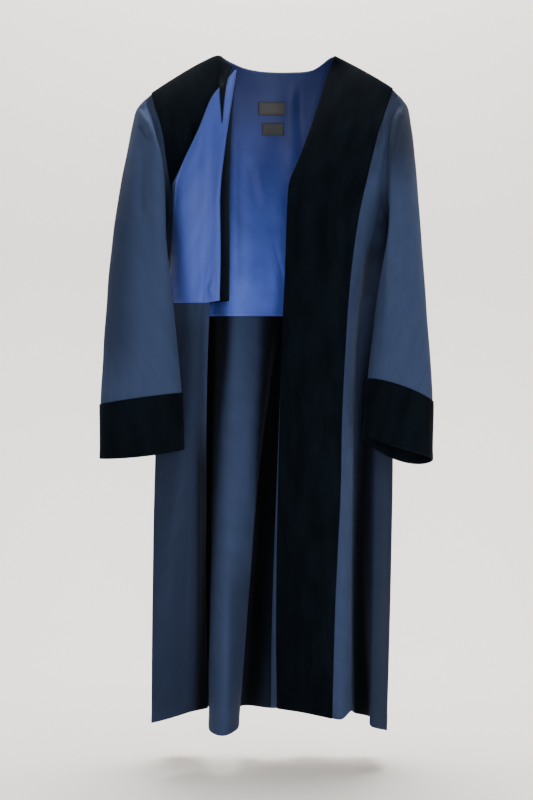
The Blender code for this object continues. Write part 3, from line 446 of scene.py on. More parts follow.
def pressFolds(name, points, seed, closed=False, size=0.10, height=0.0004, raised=False):
    # moves a sheet along its normals; nothing moves where the cloth is seen edge on,
    # and raised cloth lies on another piece, so it only moves towards the viewer
    normals = gridNormals(points, closed)
    facing = -normals[..., 1]
    lift = foldHeights(name, points) * facing + ripple(points, seed, size, height)
    if raised:
        away = -lift
        lift = -0.5 * (away + np.sqrt(away * away + (0.4 * mm) ** 2))
    rows = len(points)
    hold = np.clip(np.arange(rows) / heldRows, 0.0, 1.0)[:, None]
    if not closed:
        columns = points.shape[1]
        edge = np.minimum(np.arange(columns), columns - 1 - np.arange(columns))
        hold = hold * np.clip(edge / heldColumns, 0.0, 1.0)[None, :]
    return points + normals * (lift * hold)[..., None]


def arcWidths(points, axis):
    steps = np.linalg.norm(np.diff(points, axis=axis), axis=2)
    start = np.zeros((1, steps.shape[1])) if axis == 0 else np.zeros((steps.shape[0], 1))
    return np.concatenate([start, np.cumsum(steps, axis=axis)], axis=axis)


def smoothed(grid, rounds):
    for _ in range(rounds):
        grid[1:-1] = 0.5 * grid[1:-1] + 0.25 * (grid[:-2] + grid[2:])
        grid[:, 1:-1] = 0.5 * grid[:, 1:-1] + 0.25 * (grid[:, :-2] + grid[:, 2:])
    return grid


# for the painted fold shade: how far aside a point looks, the height of one level, and how fast the light
# goes
deepFold = {"reach": 44.0, "level": 12.0, "power": 2.6, "rounds": 3}


def paintedShadeInFolds(points, normals, others):
    # painted shade for each point, from 0 to 1, by how far it sits down between the cloth on its two sides:
    # little light reaches the floor of a narrow fold
    across, down, depth = seenAcross(others), seenDown(others), others[..., 1] / mm
    targetAcross, targetDown, targetDepth = seenAcross(points), seenDown(points), points[..., 1] / mm
    bins = np.floor(down / deepFold["level"]).astype(int)
    wanted = np.floor(targetDown / deepFold["level"]).astype(int)
    result = np.zeros(targetAcross.shape)
    # a wall that faces right takes its light from the right
    turn = 0.5 - 0.5 * normals[..., 0] * np.clip(normals[..., 1] / 0.1, -1.0, 1.0)
    for level in np.unique(wanted):
        near = bins == level
        chosen = wanted == level
        aside = across[near][None, :] - targetAcross[chosen][:, None]
        ahead = targetDepth[chosen][:, None] - depth[near][None, :]
        slope = np.where(np.abs(aside) > 1.0, ahead / np.maximum(np.abs(aside), 1.0), 0.0)
        slope = np.where(np.abs(aside) < deepFold["reach"], np.maximum(slope, 0.0), 0.0)
        left = np.where(aside < 0.0, slope, 0.0).max(axis=1)
        right = np.where(aside > 0.0, slope, 0.0).max(axis=1)
        turned = turn[chosen]
        light = (1.0 - turned) / np.sqrt(1.0 + left ** 2) + turned / np.sqrt(1.0 + right ** 2)
        result[chosen] = 1.0 - light ** deepFold["power"]
    return smoothed(result, deepFold["rounds"])


def placed(name, data):
    thing = bpy.data.objects.new(name, data)
    bpy.context.scene.collection.objects.link(thing)
    return thing


# how far a hem's extra thickness runs up, the swell of a free edge, and where the painted shade sets in
shell = {"hemReach": 0.012, "edgeSwell": 0.4, "turnedAway": 0.3}


def clothPiece(name, sheet, offset, thickness, material, closed=False, hem=0.0):
    # a thin shell with rounded edges; sheet holds points, normals and the cut's own measures
    points, normals = sheet["points"], sheet["normals"]
    rows, columns = points.shape[:2]
    widths = sheet.get("u", arcWidths(points, 1))
    drops = sheet.get("v", arcWidths(points, 0))
    full = np.full((rows, columns), thickness)
    if hem > 0.0:
        left = drops[-1][None, :] - drops
        full = full + hem * np.exp(-(left / shell["hemReach"]) ** 4)
    vertices = [points + normals * (offset + 0.5 * full)[..., None],
                points + normals * (offset - 0.5 * full)[..., None]]
    vertices = np.concatenate([block.reshape(-1, 3) for block in vertices])
    uv = np.stack([widths, drops], axis=2).reshape(-1, 2)
    uv = np.concatenate([uv, uv])
    half = rows * columns
    spans = columns if closed else columns - 1
    faces = []
    for j in range(rows - 1):
        for i in range(spans):
            a = j * columns + i
            b = j * columns + (i + 1) % columns
            c, d = b + columns, a + columns
            faces.append((a, b, c, d))
            faces.append((half + c, half + b, half + a, half + d))
    # rims: one more row of vertices rounds each free edge
    loops = []
    if closed:
        loops.append((list(range(columns)), [i + columns for i in range(columns)]))
        last = (rows - 1) * columns
        loops.append(([last + i for i in reversed(range(columns))],
                      [last - columns + i for i in reversed(range(columns))]))
    else:
        ring = list(range(columns))
        ring += [j * columns + columns - 1 for j in range(1, rows)]
        ring += [(rows - 1) * columns + i for i in range(columns - 2, -1, -1)]
        ring += [j * columns for j in range(rows - 2, 0, -1)]
        inward = []
        for index in ring:
            j, i = divmod(index, columns)
            inward.append(min(max(j, 1), rows - 2) * columns + min(max(i, 1), columns - 2))
        loops.append((ring, inward))
    flat = points.reshape(-1, 3)
    flatNormals = normals.reshape(-1, 3)
    flatFull = full.reshape(-1)
    extra = []
    extraUv = []
    for ring, inward in loops:
        base = len(vertices) + len(extra)
        for index, inner in zip(ring, inward):
            out = flat[index] - flat[inner]
            out -= flatNormals[index] * out.dot(flatNormals[index])
            out /= max(np.linalg.norm(out), 1e-9)
            extra.append(flat[index] + flatNormals[index] * offset
                         + out * shell["edgeSwell"] * flatFull[index])
            extraUv.append(uv[index])
        count = len(ring)
        for k in range(count):
            a, b = ring[k], ring[(k + 1) % count]
            m, n = base + k, base + (k + 1) % count
            faces.append((b, a, m, n))
            faces.append((n, m, half + a, half + b))
    vertices = np.concatenate([vertices, np.array(extra)])
    uv = np.concatenate([uv, np.array(extraUv)])
    mesh = bpy.data.meshes.new(name)
    mesh.from_pydata(vertices.tolist(), [], faces)
    mesh.update()
    corners = np.zeros(len(mesh.loops), dtype=np.int64)
    mesh.loops.foreach_get("vertex_index", corners)
    layer = mesh.uv_layers.new(name="cut")
    layer.data.foreach_set("uv", uv[corners].astype(np.float32).ravel())
    if "shade" in sheet:
        # the painted fold shade goes only on the skin that is seen from the front
        skins = [np.clip((side * normals[..., 1] + shell["turnedAway"]) / shell["turnedAway"], 0.0, 1.0)
                 for side in (-1.0, 1.0)]
        shade = np.concatenate([(sheet["shade"] * skin).reshape(-1) for skin in skins]
                               + [np.zeros(len(extra))])
        layer = mesh.attributes.new("paintedFoldShade", "FLOAT", "POINT")
        layer.data.foreach_set("value", shade.astype(np.float32))
    mesh.polygons.foreach_set("use_smooth", [True] * len(mesh.polygons))
    if signedVolume(mesh) < 0.0:
        mesh.flip_normals()
    mesh.materials.append(material)
    return placed(name, mesh)


def signedVolume(mesh):
    points = np.zeros(len(mesh.vertices) * 3)
    mesh.vertices.foreach_get("co", points)
    points = points.reshape(-1, 3)
    mesh.calc_loop_triangles()
    corners = np.zeros(len(mesh.loop_triangles) * 3, dtype=np.int64)
    mesh.loop_triangles.foreach_get("vertices", corners)
    a, b, c = (points[corners.reshape(-1, 3)[:, k]] for k in range(3))
    return float(np.einsum("ij,ij->i", a, np.cross(b, c)).sum())


def sheetOf(points, closed=False):
    return {"points": points, "normals": gridNormals(points, closed)}


def part(sheet, rowStart, rowEnd, columnStart, columnEnd):
    # a patch of a sheet, with the cut's measures carried over so the weave runs on
    rows, columns = slice(rowStart, rowEnd), slice(columnStart, columnEnd)
    return {key: value[rows, columns] for key, value in sheet.items()}


def measured(sheet):
    sheet["u"] = arcWidths(sheet["points"], 1)
    sheet["v"] = arcWidths(sheet["points"], 0)
    return sheet


def downTo(sheet, levels, rows, firstRow):
    # the same sheet read again between its first rows and a level on each column
    points = sheet["points"]
    down = seenDown(points)
    result = {key: [] for key in ("points", "normals", "u", "v")}
    for i in range(points.shape[1]):
        column = np.maximum.accumulate(down[:, i] + np.arange(len(down)) * 1e-7)
        last = np.interp(levels[i], column, np.arange(len(column)))
        reads = np.linspace(firstRow, last, rows)
        for key in result:
            source = sheet[key][:, i]
            if source.ndim == 1:
                result[key].append(np.interp(reads, np.arange(len(source)), source))
            else:
                result[key].append(np.stack([np.interp(reads, np.arange(len(source)), source[:, k])
                                             for k in range(3)], axis=1))
    return {key: np.stack(columns, axis=1) for key, columns in result.items()}


def socketSet(node, name, value):
    node.inputs[name].default_value = value


def newMaterial(name):
    material = bpy.data.materials.new(name)
    material.use_nodes = True
    tree = material.node_tree
    return material, tree, tree.nodes["Principled BSDF"]


def cutCoordinates(tree, scale=(1.0, 1.0, 1.0), turn=0.0):
    # the piece's own cut, in metres, so weave and nap follow the cloth
    uv = tree.nodes.new("ShaderNodeUVMap")
    uv.uv_map = "cut"
    mapping = tree.nodes.new("ShaderNodeMapping")
    mapping.inputs["Scale"].default_value = scale
    mapping.inputs["Rotation"].default_value = (0.0, 0.0, turn)
    tree.links.new(uv.outputs["UV"], mapping.inputs["Vector"])
    return mapping.outputs["Vector"]


def objectCoordinates(tree):
    return tree.nodes.new("ShaderNodeTexCoord").outputs["Object"]


def noise(tree, vector, scale, detail=3.0, roughness=0.5):
    node = tree.nodes.new("ShaderNodeTexNoise")
    socketSet(node, "Scale", scale)
    socketSet(node, "Detail", detail)
    socketSet(node, "Roughness", roughness)
    tree.links.new(vector, node.inputs["Vector"])
    return node.outputs["Fac"]


def threads(tree, vector, pitch, direction="X"):
    # fine parallel ribs, one for each pitch in metres
    node = tree.nodes.new("ShaderNodeTexWave")
    node.bands_direction = direction
    socketSet(node, "Scale", 0.314 / pitch)
    socketSet(node, "Distortion", 0.0)
    tree.links.new(vector, node.inputs["Vector"])
    return node.outputs["Fac"]


def mathNode(tree, kind, a, b):
    node = tree.nodes.new("ShaderNodeMath")
    node.operation = kind
    for socket, value in zip(node.inputs, (a, b)):
        if isinstance(value, (int, float)):
            socket.default_value = value
        else:
            tree.links.new(value, socket)
    return node.outputs[0]


def colourRamp(tree, factor, stops):
    node = tree.nodes.new("ShaderNodeValToRGB")
    ramp = node.color_ramp
    while len(ramp.elements) < len(stops):
        ramp.elements.new(0.5)
    for element, (place, colour) in zip(ramp.elements, stops):
        element.position = place
        element.color = (*colour, 1.0)
    tree.links.new(factor, node.inputs["Fac"])
    return node.outputs["Color"]


def paintFoldShade(tree, colour):
    # painted shade: the cloth's colour fades towards black by the shade that the piece carries, in folds
    # and where it turns from the light
    depth = tree.nodes.new("ShaderNodeAttribute")
    depth.attribute_name = "paintedFoldShade"
    mix = tree.nodes.new("ShaderNodeMix")
    mix.data_type = "RGBA"
    plainColour, black = (socket for socket in mix.inputs if socket.type == "RGBA")
    black.default_value = (0.0, 0.0, 0.0, 1.0)
    tree.links.new(depth.outputs["Fac"], mix.inputs["Factor"])
    tree.links.new(colour, plainColour)
    return next(socket for socket in mix.outputs if socket.type == "RGBA")


def bumpFrom(tree, shader, layers):
    # layers: (height output, strength, distance in metres), coarse ones first
    normal = None
    for height, strength, distance in layers:
        node = tree.nodes.new("ShaderNodeBump")
        socketSet(node, "Strength", strength)
        socketSet(node, "Distance", distance)
        tree.links.new(height, node.inputs["Height"])
        if normal is not None:
            tree.links.new(normal, node.inputs["Normal"])
        normal = node.outputs["Normal"]
    tree.links.new(normal, shader.inputs["Normal"])


woolLook = {"light": (0.030, 0.047, 0.106), "dark": (0.022, 0.036, 0.081), "roughness": 0.82,
            "sheen": 0.03, "twillPitch": 0.0011, "twillAngle": 35.0, "threadPitch": 0.0006}


def makeWool():
    material, tree, shader = newMaterial("woolTwill")
    cut = cutCoordinates(tree)
    slanted = cutCoordinates(tree, turn=math.radians(woolLook["twillAngle"]))
    cloud = noise(tree, cut, 26.0, 4.0, 0.6)
    fibre = noise(tree, cutCoordinates(tree, (1.0, 0.35, 1.0)), 900.0, 2.0)
    mixed = mathNode(tree, "ADD", mathNode(tree, "MULTIPLY", cloud, 0.6),
                     mathNode(tree, "MULTIPLY", fibre, 0.4))
    colour = colourRamp(tree, mixed, [(0.30, woolLook["dark"]), (0.70, woolLook["light"])])
    tree.links.new(paintFoldShade(tree, colour), shader.inputs["Base Color"])
    twill = threads(tree, slanted, woolLook["twillPitch"])
    weft = threads(tree, cut, woolLook["threadPitch"], direction="Y")
    bumpFrom(tree, shader, [(cloud, 0.25, 0.0008), (fibre, 0.5, 0.00010), (weft, 0.25, 0.00005),
                            (twill, 0.45, 0.00009)])
    socketSet(shader, "Roughness", woolLook["roughness"])
    socketSet(shader, "Sheen Weight", woolLook["sheen"])
    socketSet(shader, "Sheen Roughness", 0.55)
    socketSet(shader, "Sheen Tint", (0.62, 0.72, 0.95, 1.0))
    socketSet(shader, "Specular IOR Level", 0.09)
    return material


velvetLook = {"deep": (0.0007, 0.0018, 0.0034), "brushed": (0.0019, 0.0044, 0.0080),
              "roughness": 0.92, "sheen": 0.022, "pilePitch": 0.0008}


def makeVelvet():
    material, tree, shader = newMaterial("cottonVelvet")
    cut = cutCoordinates(tree)
    stroked = cutCoordinates(tree, (1.0, 0.28, 1.0))
    nap = noise(tree, stroked, 34.0, 5.0, 0.62)
    pile = noise(tree, cut, 1.0 / velvetLook["pilePitch"], 2.0)
    colour = colourRamp(tree, nap, [(0.36, velvetLook["deep"]), (0.68, velvetLook["brushed"])])
    tree.links.new(colour, shader.inputs["Base Color"])
    bumpFrom(tree, shader, [(nap, 0.35, 0.0016), (pile, 0.7, 0.00022)])
    socketSet(shader, "Roughness", velvetLook["roughness"])
    socketSet(shader, "Sheen Weight", velvetLook["sheen"])
    socketSet(shader, "Sheen Roughness", 0.35)
    socketSet(shader, "Sheen Tint", (0.45, 0.62, 0.95, 1.0))
    socketSet(shader, "Specular IOR Level", 0.05)
    return material


# the satin's colour is lighter than the cloth's own: painted light on the back lining's lower part, which
# the painted lining shade takes back elsewhere
satinLook = {"light": (0.104, 0.172, 0.690), "dark": (0.078, 0.130, 0.560), "roughness": 0.48,
             "sheen": 0.03, "threadPitch": 0.0005}


def makeSatin():
    material, tree, shader = newMaterial("liningSatin")
    cut = cutCoordinates(tree)
    cloud = noise(tree, cut, 18.0, 3.0, 0.55)
    slub = noise(tree, cutCoordinates(tree, (1.0, 0.06, 1.0)), 700.0, 2.0)
    colour = colourRamp(tree, cloud, [(0.30, satinLook["dark"]), (0.72, satinLook["light"])])
    tree.links.new(paintFoldShade(tree, colour), shader.inputs["Base Color"])
    warp = threads(tree, cut, satinLook["threadPitch"])
    bumpFrom(tree, shader, [(cloud, 0.35, 0.0014), (slub, 0.30, 0.00006), (warp, 0.20, 0.00003)])
    socketSet(shader, "Roughness", satinLook["roughness"])
    socketSet(shader, "Anisotropic", 0.35)
    socketSet(shader, "Sheen Weight", satinLook["sheen"])
    socketSet(shader, "Sheen Roughness", 0.3)
    socketSet(shader, "Sheen Tint", (0.55, 0.65, 1.0, 1.0))
    socketSet(shader, "Specular IOR Level", 0.14)
    return material


labelLook = {"dark": (0.009, 0.010, 0.012), "light": (0.017, 0.018, 0.020), "roughness": 0.55,
             "ribPitch": 0.0008}


def makeLabelCloth():
    material, tree, shader = newMaterial("labelTape")
    cut = cutCoordinates(tree)
    grain = noise(tree, cut, 500.0, 2.0)
    colour = colourRamp(tree, grain, [(0.3, labelLook["dark"]), (0.7, labelLook["light"])])
    tree.links.new(colour, shader.inputs["Base Color"])
    rib = threads(tree, cut, labelLook["ribPitch"], direction="Y")
    bumpFrom(tree, shader, [(rib, 0.5, 0.00010), (grain, 0.4, 0.00005)])
    socketSet(shader, "Roughness", labelLook["roughness"])
    return material


def makeThread(name, colour):
    material, tree, shader = newMaterial(name)
    grain = noise(tree, objectCoordinates(tree), 2500.0, 1.0)
    darker = tuple(0.75 * value for value in colour)
    tree.links.new(colourRamp(tree, grain, [(0.3, darker), (0.7, colour)]),
                   shader.inputs["Base Color"])
    bumpFrom(tree, shader, [(grain, 0.5, 0.00008)])
    socketSet(shader, "Roughness", 0.5)
    return material


wool = makeWool()
velvet = makeVelvet()
satin = makeSatin()
labelCloth = makeLabelCloth()
satinThread = makeThread("blueThread", (0.045, 0.075, 0.27))
darkThread = makeThread("navyThread", (0.020, 0.030, 0.055))
print("materials made")

cloth = {"woolThick": 0.0014, "velvetThick": 0.0017, "satinThick": 0.0007, "airGap": 0.00045,
         "woolHem": 0.0011, "satinHem": 0.0006, "spacing": 0.0058, "rows": 216, "seed": 11,
         "frontLiningHem": 473.0, "backLiningHem": 499.0, "liningRows": 110}
onWool = 0.5 * cloth["woolThick"] + cloth["airGap"] + 0.5 * cloth["velvetThick"]
underWool = -(0.5 * cloth["woolThick"] + cloth["airGap"] + 0.5 * cloth["satinThick"])


def keep(piece, node):
    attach(piece, "root")
    if node:
        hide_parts(node)


# body panels
tables = {"frontLeft": frontLeftLines, "back": backLines, "frontRight": frontRightLines}
panels, marks = {}, {}
for order, (name, table) in enumerate(tables.items()):
    points, marks[name] = panelSurface(table, cloth["rows"], cloth["spacing"])
    panels[name] = measured(sheetOf(pressFolds(name, points, cloth["seed"] + order)))


def joinEdges():
    # side seams and shoulder seams: both panels end on one shared line
    back, left, right = (panels[name]["points"] for name in ("back", "frontLeft", "frontRight"))
    for front, frontColumn, backColumn in ((left, -1, 0), (right, 0, -1)):
        edge = front[:, frontColumn]
        target = back[:, backColumn]
        order = np.argsort(-edge[:, 2])
        for j in range(len(target)):
            if seenDown(target[j]) > underarmDown:
                z = target[j, 2]
                same = np.stack([np.interp(-z, -edge[order, 2], edge[order, k]) for k in range(3)])
                target[j, :2] = same[:2]


joinEdges()
# painted shade on wool that faces away from the light: left, right, top and bottom as seen,
# how much darker, and the width of the change
endChange = 90.0
paintedShadeBoxes = {"frontRight": ((-262, -136, 440, 1340, 0.48, 9), (-160, -124, 700, 1360, 0.80, 9)),
          "frontLeft": ((158, 240, 560, 1360, 0.56, 9),),
          "back": ((-98, 20, 940, 1420, 0.34, 9),),
          "sleeveLeft": ((180, 330, -60, 270, 0.60, 30),),
          "sleeveRight": ((-420, -262, 150, 640, 0.36, 40),)}


def addPaintedShade(sheet, place):
    left, right, top, bottom, amount, change = place
    across, down = seenAcross(sheet["points"]), seenDown(sheet["points"])
    inside = np.clip((across - left) / change, 0.0, 1.0) * np.clip((right - across) / change, 0.0, 1.0)
    inside *= np.clip((down - top) / endChange, 0.0, 1.0) * np.clip((bottom - down) / endChange, 0.0, 1.0)
    return 1.0 - (1.0 - sheet["shade"]) * (1.0 - amount * inside)


allPanels = np.concatenate([panels[name]["points"].reshape(-1, 3) for name in tables])
for name in tables:
    panels[name] = measured(sheetOf(panels[name]["points"]))
    # painted shade: dark deep in folds, and in boxes where the wool turns from the light
    panels[name]["shade"] = paintedShadeInFolds(panels[name]["points"], panels[name]["normals"], allPanels)
    for place in paintedShadeBoxes.get(name, ()):
        panels[name]["shade"] = addPaintedShade(panels[name], place)
wholeRows = len(panels["back"]["points"])
for name, node, flat, area in (("frontLeft", "front_left", (0.42, 1.33), 0.36),
                               ("back", "back", (0.86, 1.36), 0.93),
                               ("frontRight", "front_right", (0.42, 1.33), 0.32)):
    piece = clothPiece(name + "Wool", panels[name], 0.0, cloth["woolThick"], wool,
                       hem=cloth["woolHem"])
    keep(piece, node)
print("wool panels made")

# velvet bands
leftMarks, rightMarks, backMarks = (marks[name] for name in ("frontLeft", "frontRight", "back"))
bandLeft = part(panels["frontLeft"], 0, wholeRows, 0, leftMarks["bandOuter"] + 1)
bandRight = part(panels["frontRight"], 0, wholeRows, rightMarks["bandOuter"], None)
for name, sheet, node, flat, area in (("bandLeft", bandLeft, "band_left", (0.20, 1.32), 0.17),
                                      ("bandRight", bandRight, "band_right", (0.28, 1.32), 0.23)):
    piece = clothPiece(name + "Velvet", sheet, onWool, cloth["velvetThick"], velvet,
                       hem=cloth["woolHem"])
    keep(piece, node)
print("velvet bands made")


# half linings
def frontLevels(sheet):
    return np.full(sheet["points"].shape[1], cloth["frontLiningHem"])


# painted shade on the linings: the tops lie in the shade of the collar, and the flap's lining is darkened
# all over against the satin's lightened colour; columns are down, shade
liningShade = {"back": ((0, 65, 123, 276, 450), (0.86, 0.83, 0.76, 0.42, 0.0)),
               "right": ((100, 190, 372, 480), (0.60, 0.56, 0.49, 0.44))}
backInside = part(panels["back"], 0, wholeRows, 2, -2)
columns = backInside["points"].shape[1]
# the back lining's hem drops from the level of the fronts' hems beside each side seam
step = np.clip(np.minimum(np.arange(columns), np.arange(columns)[::-1]) / 18.0, 0, 1)
backLevels = cloth["frontLiningHem"] + (cloth["backLiningHem"] - cloth["frontLiningHem"]) * step
backLining = downTo(backInside, backLevels, cloth["liningRows"], 0.6)
# painted shade on the back lining, darkest at its top
backLining["shade"] = np.interp(seenDown(backLining["points"]), *liningShade["back"])
leftInside = part(panels["frontLeft"], 0, wholeRows, 3, leftMarks["sideValley"] + 1)
leftLining = downTo(leftInside, frontLevels(leftInside), cloth["liningRows"], 1.5)


def looseLining():
    # the turned-back lining lies on the flap and bulges loose past its fold
    flapStart = rightMarks["flapRight"]
    flap = part(panels["frontRight"], 0, wholeRows, flapStart, -3)
    flap = downTo(flap, frontLevels(flap), cloth["liningRows"], 0.8)
    middle = flap["points"] + flap["normals"] * underWool
    down = seenDown(middle[:, 0])
    shares = np.clip((down - down[0]) / (down[-1] - down[0]), 0.0, 1.0)
    loose = [evenLine(placeKnots(knots), shares) for knots in looseLiningLines]
    span = rightMarks["flapMiddle"] - flapStart
    anchors = [middle[:, round(span * share / 3.0)] for share in range(3)]
    knots = np.array(loose + anchors)
    spots, lineColumns = columnSpots(knots[:4], cloth["spacing"])
    crest = lineColumns[2]
    free = readSpline(knots, spots[:-1]).transpose(1, 0, 2)
    free = pressFolds("lining", free, 31, size=0.06, height=0.0005)
    join = free.shape[1]
    lifted = pressFolds("lining", middle, 33, size=0.05, height=0.0002, raised=True)
    ramp = np.clip(np.arange(middle.shape[1]) / 5.0, 0.0, 1.0)[None, :, None]
    points = np.concatenate([free, middle * (1.0 - ramp) + lifted * ramp], axis=1)
    sheet = measured(sheetOf(points))
    weight = np.clip(np.arange(middle.shape[1]) / 4.0, 0.0, 1.0)[None, :, None]
    mixed = sheet["normals"][:, join:] * (1.0 - weight) + flap["normals"] * weight
    sheet["normals"][:, join:] = mixed / np.linalg.norm(mixed, axis=2, keepdims=True)
    return sheet, crest


rightWhole, crestColumn = looseLining()
rightLining = part(rightWhole, 0, None, crestColumn, None)
# painted shade over the whole flap lining
rightLining["shade"] = np.interp(seenDown(rightLining["points"]), *liningShade["right"])
shadeStripBehindCrest = part(rightWhole, 0, None, 0, crestColumn + 1)
for name, sheet, offset, node, flat, area in (
        ("liningBack", backLining, underWool, "lining_back", (0.60, 0.52), 0.26),
        ("liningFrontLeft", leftLining, underWool, "lining_front_left", (0.22, 0.48), 0.08),
        ("liningFrontRight", rightLining, 0.0, "lining_front_right", (0.15, 0.47), 0.044)):
    piece = clothPiece(name + "Satin", sheet, offset, cloth["satinThick"], satin,
                       hem=cloth["satinHem"])
    keep(piece, node)

# dark velvet put where there is only shade, as painted shade: on the lining behind the fold's crest and in
# a wedge at the neck; the left front's turned edge is wool
shadeWedgeAndFacingCut = {
    "neckLeft": [(-110.4, 5), (-111.2, 30), (-111.0, 62), (-107.2, 128)],
    "neckRight": [(-86, 19), (-94, 38), (-100, 66), (-106.2, 129)],
    "neckColumns": 9, "neckRows": 40, "neckLift": 3.0,
    "edgeTop": 500.0, "edgeWidths": (2.0, 15.0), "edgeColumns": 6, "edgeRows": 110,
    "edgeBack": 10.0, "edgeTuck": 1.5,
}
# the lining's free part behind the fold's crest is dark velvet: painted shade
piece = clothPiece("facingRightVelvet", shadeStripBehindCrest, 0.0, cloth["satinThick"], velvet)
keep(piece, "lining_front_right")


def neckShadeWedge():
    # a dark velvet wedge painted as the shade in the crease at the neck, laid over whatever cloth is
    # nearest to the viewer there
    under = np.concatenate([sheet["points"].reshape(-1, 3) for sheet in (rightWhole, panels["frontRight"])])
    underAcross, underDown = seenAcross(under), seenDown(under)
    shares = np.linspace(0.0, 1.0, shadeWedgeAndFacingCut["neckRows"])
    sides = [evenLine(np.array([(across, 0.0, down) for across, down in shadeWedgeAndFacingCut[key]]), shares)
             for key in ("neckLeft", "neckRight")]
    depths = np.zeros((shadeWedgeAndFacingCut["neckRows"], shadeWedgeAndFacingCut["neckColumns"]))
    spots = np.linspace(sides[0], sides[1], shadeWedgeAndFacingCut["neckColumns"], axis=1)
    for j, i in np.ndindex(depths.shape):
        off = (underAcross - spots[j, i, 0]) ** 2 + (underDown - spots[j, i, 2]) ** 2
        depths[j, i] = under[np.argsort(off)[:8], 1].min() / mm - shadeWedgeAndFacingCut["neckLift"]
    table = np.stack([spots[..., 0], spots[..., 2], smoothed(depths, 12)], axis=2)
    points = placeKnots(table.reshape(-1, 3)).reshape(table.shape)
    return measured(sheetOf(points))


def edgeFacing():
    # the inner edge of the left front shows beside its velvet and widens to the hem
    edge = panels["frontLeft"]["points"][:, 0]
    down = seenDown(edge)
    rows = np.linspace(shadeWedgeAndFacingCut["edgeTop"], down[-1] - 1.0, shadeWedgeAndFacingCut["edgeRows"])
    line = np.stack([np.interp(rows, down, edge[:, k]) for k in range(3)], axis=1)
    (narrow, wide), tuck = shadeWedgeAndFacingCut["edgeWidths"], shadeWedgeAndFacingCut["edgeTuck"]
    share = np.linspace(0.0, 1.0, len(rows))
    width = narrow + (wide - narrow) * share ** 1.5
    table = []
    for k in range(shadeWedgeAndFacingCut["edgeColumns"]):
        step = k / (shadeWedgeAndFacingCut["edgeColumns"] - 1.0)
        table.append(np.stack([seenAcross(line) - width * step + tuck, rows,
                               line[:, 1] / mm + tuck + shadeWedgeAndFacingCut["edgeBack"] * step * step], axis=1))
    points = np.stack([placeKnots(column) for column in reversed(table)], axis=1)
    return measured(sheetOf(points))


# painted shade at the neck
piece = clothPiece("neckShadeWedgeVelvet", neckShadeWedge(), 0.0, cloth["satinThick"], velvet)
keep(piece, None)
piece = clothPiece("edgeFacingWool", edgeFacing(), 0.0, cloth["satinThick"], wool)
keep(piece, None)
print("linings and facings made")


# sleeves and cuffs
sleeveCut = {"around": 112, "steps": 150, "cuffFrom": 7.0, "woolTo": 7.22, "lift": 0.0012,
             "out": 0.0005, "seeds": {"Left": 51, "Right": 52}, "unevenSize": 0.09, "uneven": 0.0006}


def armholeEdge(panel, column, inward, shares):
    points, normals = panels[panel]["points"], panels[panel]["normals"]
    down = seenDown(points[:, column])
    rows = [j for j in range(len(down)) if down[j] <= underarmDown + 3.0]
    edge = []
    for j in rows:
        outward = points[j, column] - points[j, inward]
        outward /= np.linalg.norm(outward)
        edge.append(points[j, column] + outward * sleeveCut["out"]
                    + normals[j, column] * sleeveCut["lift"])
    return evenLine(np.array(edge[::4] + [edge[-1]]), shares)


def ringPoints(ring, angles):
    outer, front, inner, back = placeKnots(ring)
    c, s = np.cos(angles)[:, None], np.sin(angles)[:, None]
    middle = (outer + inner) * 0.5 * c * c + (front + back) * 0.5 * s * s
    return middle + (outer - inner) * 0.5 * c + (front - back) * 0.5 * s


def sleeveSurface(side, rings):
    half = sleeveCut["around"] // 2
    shares = np.linspace(0.0, 1.0, half + 1)
    frontColumns, backColumns = (-1, -2), (0, 1)
    if side == "Right":
        frontColumns, backColumns = backColumns, frontColumns
    frontEdge = armholeEdge("front" + side, *frontColumns, shares)
    backEdge = armholeEdge("back", *backColumns, shares)
    loop = np.concatenate([frontEdge[:-1], backEdge[:0:-1]])
    angles = np.concatenate([shares[:-1], 2.0 - shares[:0:-1]]) * math.pi
    knots = np.array([loop] + [ringPoints(ring, angles) for ring in rings])
    reads = np.linspace(0.0, float(len(rings)), sleeveCut["steps"] + 1)
    points = readSpline(knots, reads)
    # the grid runs the way round that turns its normals outwards
    sheet = sheetOf(points, closed=True)
    level = len(points) // 2
    middle = points[level].mean(axis=0)
    if (sheet["normals"][level, 0] * (points[level, 0] - middle)).sum() < 0.0:
        points = points[:, ::-1].copy()
    points = pressFolds("sleeve" + side, points, sleeveCut["seeds"][side], closed=True,
                        size=sleeveCut["unevenSize"], height=sleeveCut["uneven"])
    return measured(sheetOf(points, closed=True)), reads


def makeSleeve(side, rings):
    sheet, reads = sleeveSurface(side, rings)
    # painted shade where the sleeve turns from the light
    sheet["shade"] = np.zeros(sheet["points"].shape[:2])
    for place in paintedShadeBoxes["sleeve" + side]:
        sheet["shade"] = addPaintedShade(sheet, place)
    woolRows = int(np.searchsorted(reads, sleeveCut["woolTo"]))
    cuffRow = int(np.searchsorted(reads, sleeveCut["cuffFrom"]))
    low = side.lower()
    piece = clothPiece("sleeve" + side + "Wool", part(sheet, 0, woolRows, 0, None), 0.0,
                       cloth["woolThick"], wool, closed=True)
    keep(piece, "sleeve_" + low)
    piece = clothPiece("cuff" + side + "Velvet", part(sheet, cuffRow, None, 0, None), onWool,
                       cloth["velvetThick"], velvet, closed=True, hem=cloth["woolHem"])
    keep(piece, "cuff_" + low)


makeSleeve("Left", sleeveLeftRings)
makeSleeve("Right", sleeveRightRings)
print("sleeves made")


# labels, left bare
labelCut = {"thick": 0.0007, "lift": 0.0009, "raise": 0.0005, "rows": 9, "columns": 15,
            "places": {"labelUpper": ("label_upper", -36.9, 14.8, 88.3, 113.9),
                       "labelLower": ("label_lower", -29.8, 12.5, 128.6, 152.6)}}


